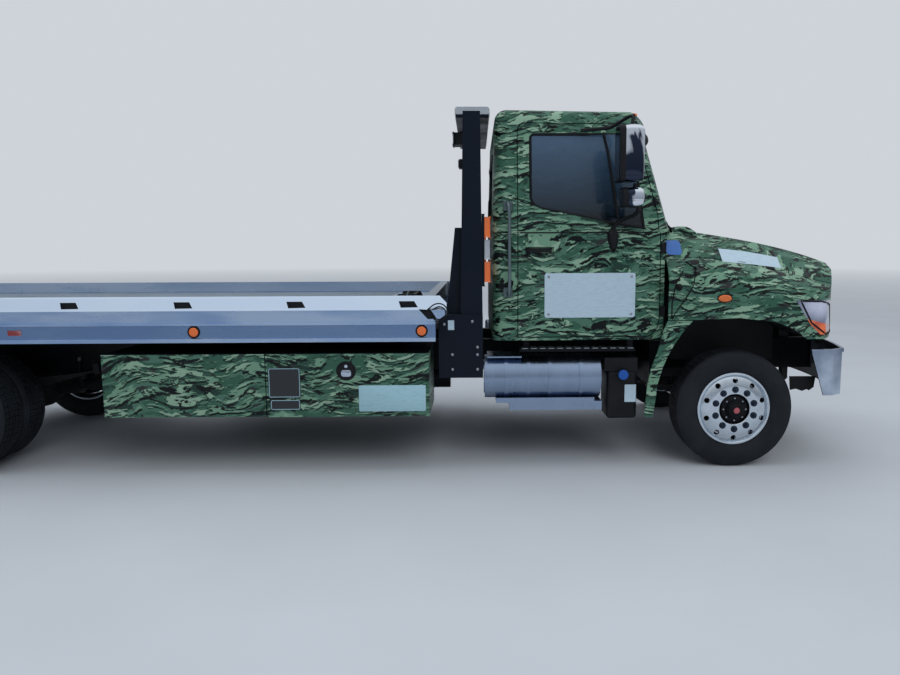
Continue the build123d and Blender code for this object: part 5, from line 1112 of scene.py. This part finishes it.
# Frame: bolt heads along the rails, the springs' clips on the axles, dampers and lines fixed to the frame
FRAME_SIDE, FRAME_BOLTS, FRAME_BOLT_STEP = 425, 24, -355
for side, sign in SIDES:
    head = Shape()
    bolt_heads(head, [(700, sign * FRAME_SIDE, 790), (740, sign * FRAME_SIDE, 670)], sign, 11, 7, 6)
    repeated(f"frame_bolts_{side}", head, FRAME_BLACK, "chassis", FRAME_BOLTS, step=(FRAME_BOLT_STEP, 0, 0))
    clips = Shape()
    # columns: axle's X, spring's Y, top and bottom of its clips
    for x, y, top, low in ((0, 388, 470, 300), (REAR, 475, 590, 350)):
        for dx in (-62, 62):
            arch = ((-48, low), (-48, top), (-30, top + 14), (30, top + 14), (48, top), (48, low))
            clips.bar([(x + dx, sign * (y + across), z) for across, z in arch], 9, 10)
        clips.box((x - 78, x + 78), (sign * (y - 62), sign * (y + 62)), (low + 4, low + 22), soft=3)
    made(f"axle_bolts_{side}", clips, CAST_IRON, "chassis")
    shocks = Shape()
    shocks.bar([(-150, sign * 470, 400), (-170, sign * 462, 590)], 34, 20)
    shocks.bar([(-170, sign * 462, 585), (-185, sign * 456, 760)], 22, 16)
    made(f"front_dampers_{side}", shocks, FRAME_BLACK, "chassis")
    lines = Shape()
    for i, z in enumerate((745, 765, 785)):
        y = sign * (412 - 4 * (i % 2))
        lines.bar([(x, y, z + 3 * sin(x / 260)) for x in range(-7700, 500, 200)], 6, 6)
    made(f"frame_lines_{side}", lines, BLACK_RUBBER, "chassis")

# Cab inside: seats on their plinths, door trims, gauges
SEATS = {"driver": (430, 260), "bench": (-360, 430)}  # middle's Y and half width
plinths = Shape()
for y, half in SEATS.values():
    plinths.box((-1480, -1080), (y - half + 62, y + half - 62), (975, 1290), soft=12)
    plinths.box((-1510, -1010), (y - half + 12, y + half - 12), (1270, 1300), soft=8)
made("seat_plinths", plinths, TRIM_GREY, "chassis", ("seats",))
VOXEL, PUFF_CAP, PAD_FRAMES, PAD_PRESSURE = 0.011, 0.020, 16, 4.0  # metres, metres, frames, pressure
PAD_SHRINK, PAD_INSET, PAD_ROUND = 0.1, 20, 26


def seat_pad(name, outline, y0, y1):
    """A cushion remeshed and blown up a little, held near its CAD form."""
    shape = Shape()
    a, b = middle_of(outline)
    small = [(x + (a - x) * PAD_SHRINK, z + (b - z) * PAD_SHRINK) for x, z in outline]
    shape.prism(small, "Y", y0 + PAD_INSET, y1 - PAD_INSET, soft=PAD_ROUND)
    piece = settled(name, shape, SEAT_CLOTH, lambda p: at(*p))
    remesh = piece.modifiers.new("even_faces", "REMESH")
    remesh.mode = "VOXEL"
    remesh.voxel_size = VOXEL
    even = baked(piece)
    before = [v.co.copy() for v in even.vertices]
    cloth = piece.modifiers.new("filling", "CLOTH")
    cloth.settings.use_pressure = True
    cloth.settings.uniform_pressure_force = PAD_PRESSURE
    cloth.settings.effector_weights.gravity = 0.0
    cloth.point_cache.frame_start, cloth.point_cache.frame_end = 1, PAD_FRAMES
    for step in range(1, PAD_FRAMES + 1):
        bpy.context.scene.frame_set(step)
    even = baked(piece)
    for vertex, old in zip(even.vertices, before):
        move = vertex.co - old
        if move.length > PUFF_CAP:
            vertex.co = old + move * (PUFF_CAP / move.length)
    bpy.context.scene.frame_set(1)
    even.shade_smooth()
    even.materials.clear()
    even.materials.append(SEAT_CLOTH)
    smooth = piece.modifiers.new("smooth_cloth", "SUBSURF")
    smooth.levels = smooth.render_levels = 1
    fixed(piece, "chassis")


CUSHION = [(-1520, 1296), (-1520, 1400), (-1380, 1430), (-1040, 1450), (-990, 1410), (-1000, 1296)]
BACKREST = [(-1520, 1424), (-1640, 2000), (-1600, 2080), (-1540, 2080), (-1500, 1990), (-1392, 1452)]
for name, (y, half) in SEATS.items():
    seat_pad(f"{name}_cushion", CUSHION, y - half, y + half)
    seat_pad(f"{name}_backrest", BACKREST, y - half, y + half)

DOOR_TRIM = [(-1490, 960), (-1490, 1700), (-1380, 1715), (-640, 1640), (-600, 1560), (-600, 1060),
             (-680, 960)]
for side, sign in SIDES:
    trim = Shape().prism(DOOR_TRIM, "Y", sign * 962, sign * 978, soft=6)
    trim.box((-1250, -900), (sign * 930, sign * 964), (1440, 1500), soft=12)
    made(f"door_trim_{side}", trim, TRIM_GREY, f"door_{side}")
gauges = Shape()
for y in (300, 420, 540):
    gauges.turned([(0, 0), (0, 44), (-10, 46), (-14, 40), (-6, 36), (-6, 0)], (-782, y, 1590), "X", steps=28)
made("dash_gauges", gauges, BLACK_PLASTIC, "chassis")

# Headlamps reach back over the fender, inside a dark bezel
HEADLAMP = [(440, 1188), (601, 1184), (700, 1156), (768, 950), (640, 950), (524, 1036)]
front_skin = Skin("hood_shell", "headlamps")
for side, sign in SIDES:
    face = laid_plate(front_skin, HEADLAMP, sign, thick=2.5)
    made(f"headlamp_face_{side}", face, HEADLAMP_LENS, "hood")
    bezel = Shape()
    route = [front_skin.beside(x, z, sign, 1) for x, z in along_edges(HEADLAMP, 28)]
    bezel.bar(route, 6, 8, closed=True)
    made(f"headlamp_bezel_{side}", bezel, BLACK_RUBBER, "hood")

# Black sheets on the toolbox tops are painted shade under the deck
for side, _ in SIDES:
    low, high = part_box(f"toolbox_{side}")
    top = Shape()
    (x0, y0), (x1, y1) = [((x - AXLE_X) * 1000, y * 1000) for x, y, _ in (low, high)]
    top.box((x0 + 4, x1 - 4), (y0 + 4, y1 - 4), (high[2] * 1000, high[2] * 1000 + 2))
    made(f"toolbox_top_shade_{side}", top, BLACK_PLASTIC, "chassis")


def hose(name, body, route, diameter):
    """A stiff black hose or cable along given points, both ends in the object."""
    line = bpy.data.curves.new(name, "CURVE")
    line.dimensions = "3D"
    line.bevel_depth, line.bevel_resolution, line.use_fill_caps = diameter / 2000, 4, True
    spline = line.splines.new("NURBS")
    spline.points.add(len(route) - 1)
    for point, place in zip(spline.points, route):
        point.co = (*at(*place), 1)
    spline.order_u, spline.use_endpoint_u, spline.resolution_u = 3, True, 12
    line.materials.append(BLACK_RUBBER)
    piece = bpy.data.objects.new(name, line)
    bpy.context.collection.objects.link(piece)
    fixed(piece, body)


# Cables that loop out of the rail's nose, on the photographed side
hose("bed_lamp_cable", "bed",
     [(-2150, -1196, 1140), (-2132, -1216, 1150), (-2092, -1222, 1178), (-2048, -1222, 1160),
      (-2040, -1222, 1112), (-2070, -1220, 1082), (-2112, -1214, 1085), (-2134, -1196, 1104)], 8)
hose("bed_work_lamp_cable", "bed",
     [(-2182, -1196, 1136), (-2160, -1218, 1158), (-2112, -1232, 1196), (-2058, -1234, 1192),
      (-2026, -1234, 1150), (-2036, -1232, 1098), (-2080, -1226, 1066), (-2122, -1214, 1080),
      (-2144, -1196, 1112)], 9)

# A brake hose hangs from two fittings on each frame rail ahead of the rear wheels
for side, sign in SIDES:
    fittings = Shape()
    for x in (-4950, -4750):
        fittings.turned([(0, 0), (0, 16), (22, 16), (26, 13), (34, 13), (34, 0)], (x, sign * 442, 700), "Z",
                        steps=6)
    made(f"frame_hose_fittings_{side}", fittings, BRIGHT_STEEL, "chassis")
    hose(f"frame_hose_{side}", "chassis",
         [(-4950, sign * 442, 702), (-4952, sign * 446, 630), (-4948, sign * 450, 540),
          (-4905, sign * 452, 480), (-4795, sign * 452, 480), (-4752, sign * 450, 540),
          (-4748, sign * 446, 630), (-4750, sign * 442, 702)], 18)


# Stage, light and camera
def backdrop_floor():
    """A pale floor that fades into the backdrop far from the truck."""
    bpy.ops.mesh.primitive_circle_add(vertices=96, radius=120, fill_type="NGON", location=(0, 0, -0.001))
    floor = bpy.context.object
    floor.name = "floor"
    f = Finish("pale_floor", Roughness=0.9)
    grain = f.noise(f.place, 0.8, 6.0)
    f.use(Base_Color=f.mix(grain, rgb(176, 180, 186), rgb(190, 194, 200)))
    far = f.add("ShaderNodeVectorMath", {0: f.place}, operation="LENGTH").outputs["Value"]
    glow = f.value("ShaderNodeEmission", {"Color": BACKDROP, "Strength": 1.0})
    fade = f.value("ShaderNodeMixShader", {0: f.between(far, 14.0, 60.0), 1: f.shader.outputs[0], 2: glow})
    f.feed(f.tree.nodes["Material Output"], {"Surface": fade})
    floor.data.materials.append(f.material)


BACKDROP = rgb(206, 211, 217)
backdrop_floor()

world = bpy.data.worlds.new("studio")
world.use_nodes = True
bpy.context.scene.world = world
sky = Nodes(world.node_tree)
up = sky.add("ShaderNodeSeparateXYZ", {0: sky.add("ShaderNodeTexCoord").outputs["Generated"]})
dome = sky.add("ShaderNodeValToRGB", {0: up.outputs[2]})
ramp = dome.color_ramp.elements
ramp[0].position, ramp[0].color = 0.0, (0.30, 0.33, 0.38, 1)
ramp[1].position, ramp[1].color = 0.8, (0.92, 0.96, 1.0, 1)
ground = sky.tree.nodes["Background"]
sky.feed(ground, {"Color": dome.outputs[0], "Strength": 0.85})
seen = sky.value("ShaderNodeBackground", {"Color": BACKDROP})
camera_ray = sky.add("ShaderNodeLightPath").outputs["Is Camera Ray"]
choice = sky.value("ShaderNodeMixShader", {0: camera_ray, 1: ground.outputs[0], 2: seen})
sky.feed(sky.tree.nodes["World Output"], {"Surface": choice})

# columns: place and size in metres, power in watts, colour
for place, size, power, tone in (
        ((6.0, -12.0, 9.0), 9.0, 620, (0.94, 0.97, 1.0)),
        ((-9.0, 10.0, 9.0), 8.0, 420, (0.88, 0.94, 1.0)),
        ((0.0, 0.0, 12.0), 12.0, 420, (0.9, 0.96, 1.0))):
    lamp = bpy.data.lights.new("soft_box", "AREA")
    lamp.shape = "DISK"
    lamp.size = size
    lamp.energy = power
    lamp.color = tone
    holder = bpy.data.objects.new("soft_box", lamp)
    holder.location = place
    holder.rotation_euler = (Vector((0, 0, 1)) - Vector(place)).to_track_quat("-Z", "Y").to_euler()
    holder.visible_glossy = False
    bpy.context.collection.objects.link(holder)

# The photograph's camera, found from measured points of the truck
SENSOR_WIDTH = 36.0
CAMERA_TILT, CAMERA_YAW, CAMERA_ROLL = radians(6.9), radians(-1.07), -0.0037
LENS_PIXELS, SHIFT_PIXELS, FRAME_WIDTH = 728.0, -40.0, 900.0
CAMERA_PLACE = at(-1834.97, -6153.05, 1556.48)
forward = Vector((-sin(CAMERA_YAW) * cos(CAMERA_TILT), cos(CAMERA_YAW) * cos(CAMERA_TILT), -sin(CAMERA_TILT)))
level = Vector((cos(CAMERA_YAW), sin(CAMERA_YAW), 0))
raised = level.cross(forward)
camera_x = cos(CAMERA_ROLL) * level + sin(CAMERA_ROLL) * raised
camera_y = -sin(CAMERA_ROLL) * level + cos(CAMERA_ROLL) * raised
lens_data = bpy.data.cameras.new("photo_camera")
lens_data.sensor_width = SENSOR_WIDTH
lens_data.lens = LENS_PIXELS / FRAME_WIDTH * SENSOR_WIDTH
lens_data.shift_x = SHIFT_PIXELS / FRAME_WIDTH
lens_data.clip_end = 400.0
camera = bpy.data.objects.new("photo_camera", lens_data)
camera.matrix_world = Matrix((
    (camera_x[0], camera_y[0], -forward[0], CAMERA_PLACE[0]),
    (camera_x[1], camera_y[1], -forward[1], CAMERA_PLACE[1]),
    (camera_x[2], camera_y[2], -forward[2], CAMERA_PLACE[2]),
    (0, 0, 0, 1)))
bpy.context.collection.objects.link(camera)
bpy.context.scene.camera = camera
bpy.context.scene.view_settings.view_transform = "Standard"
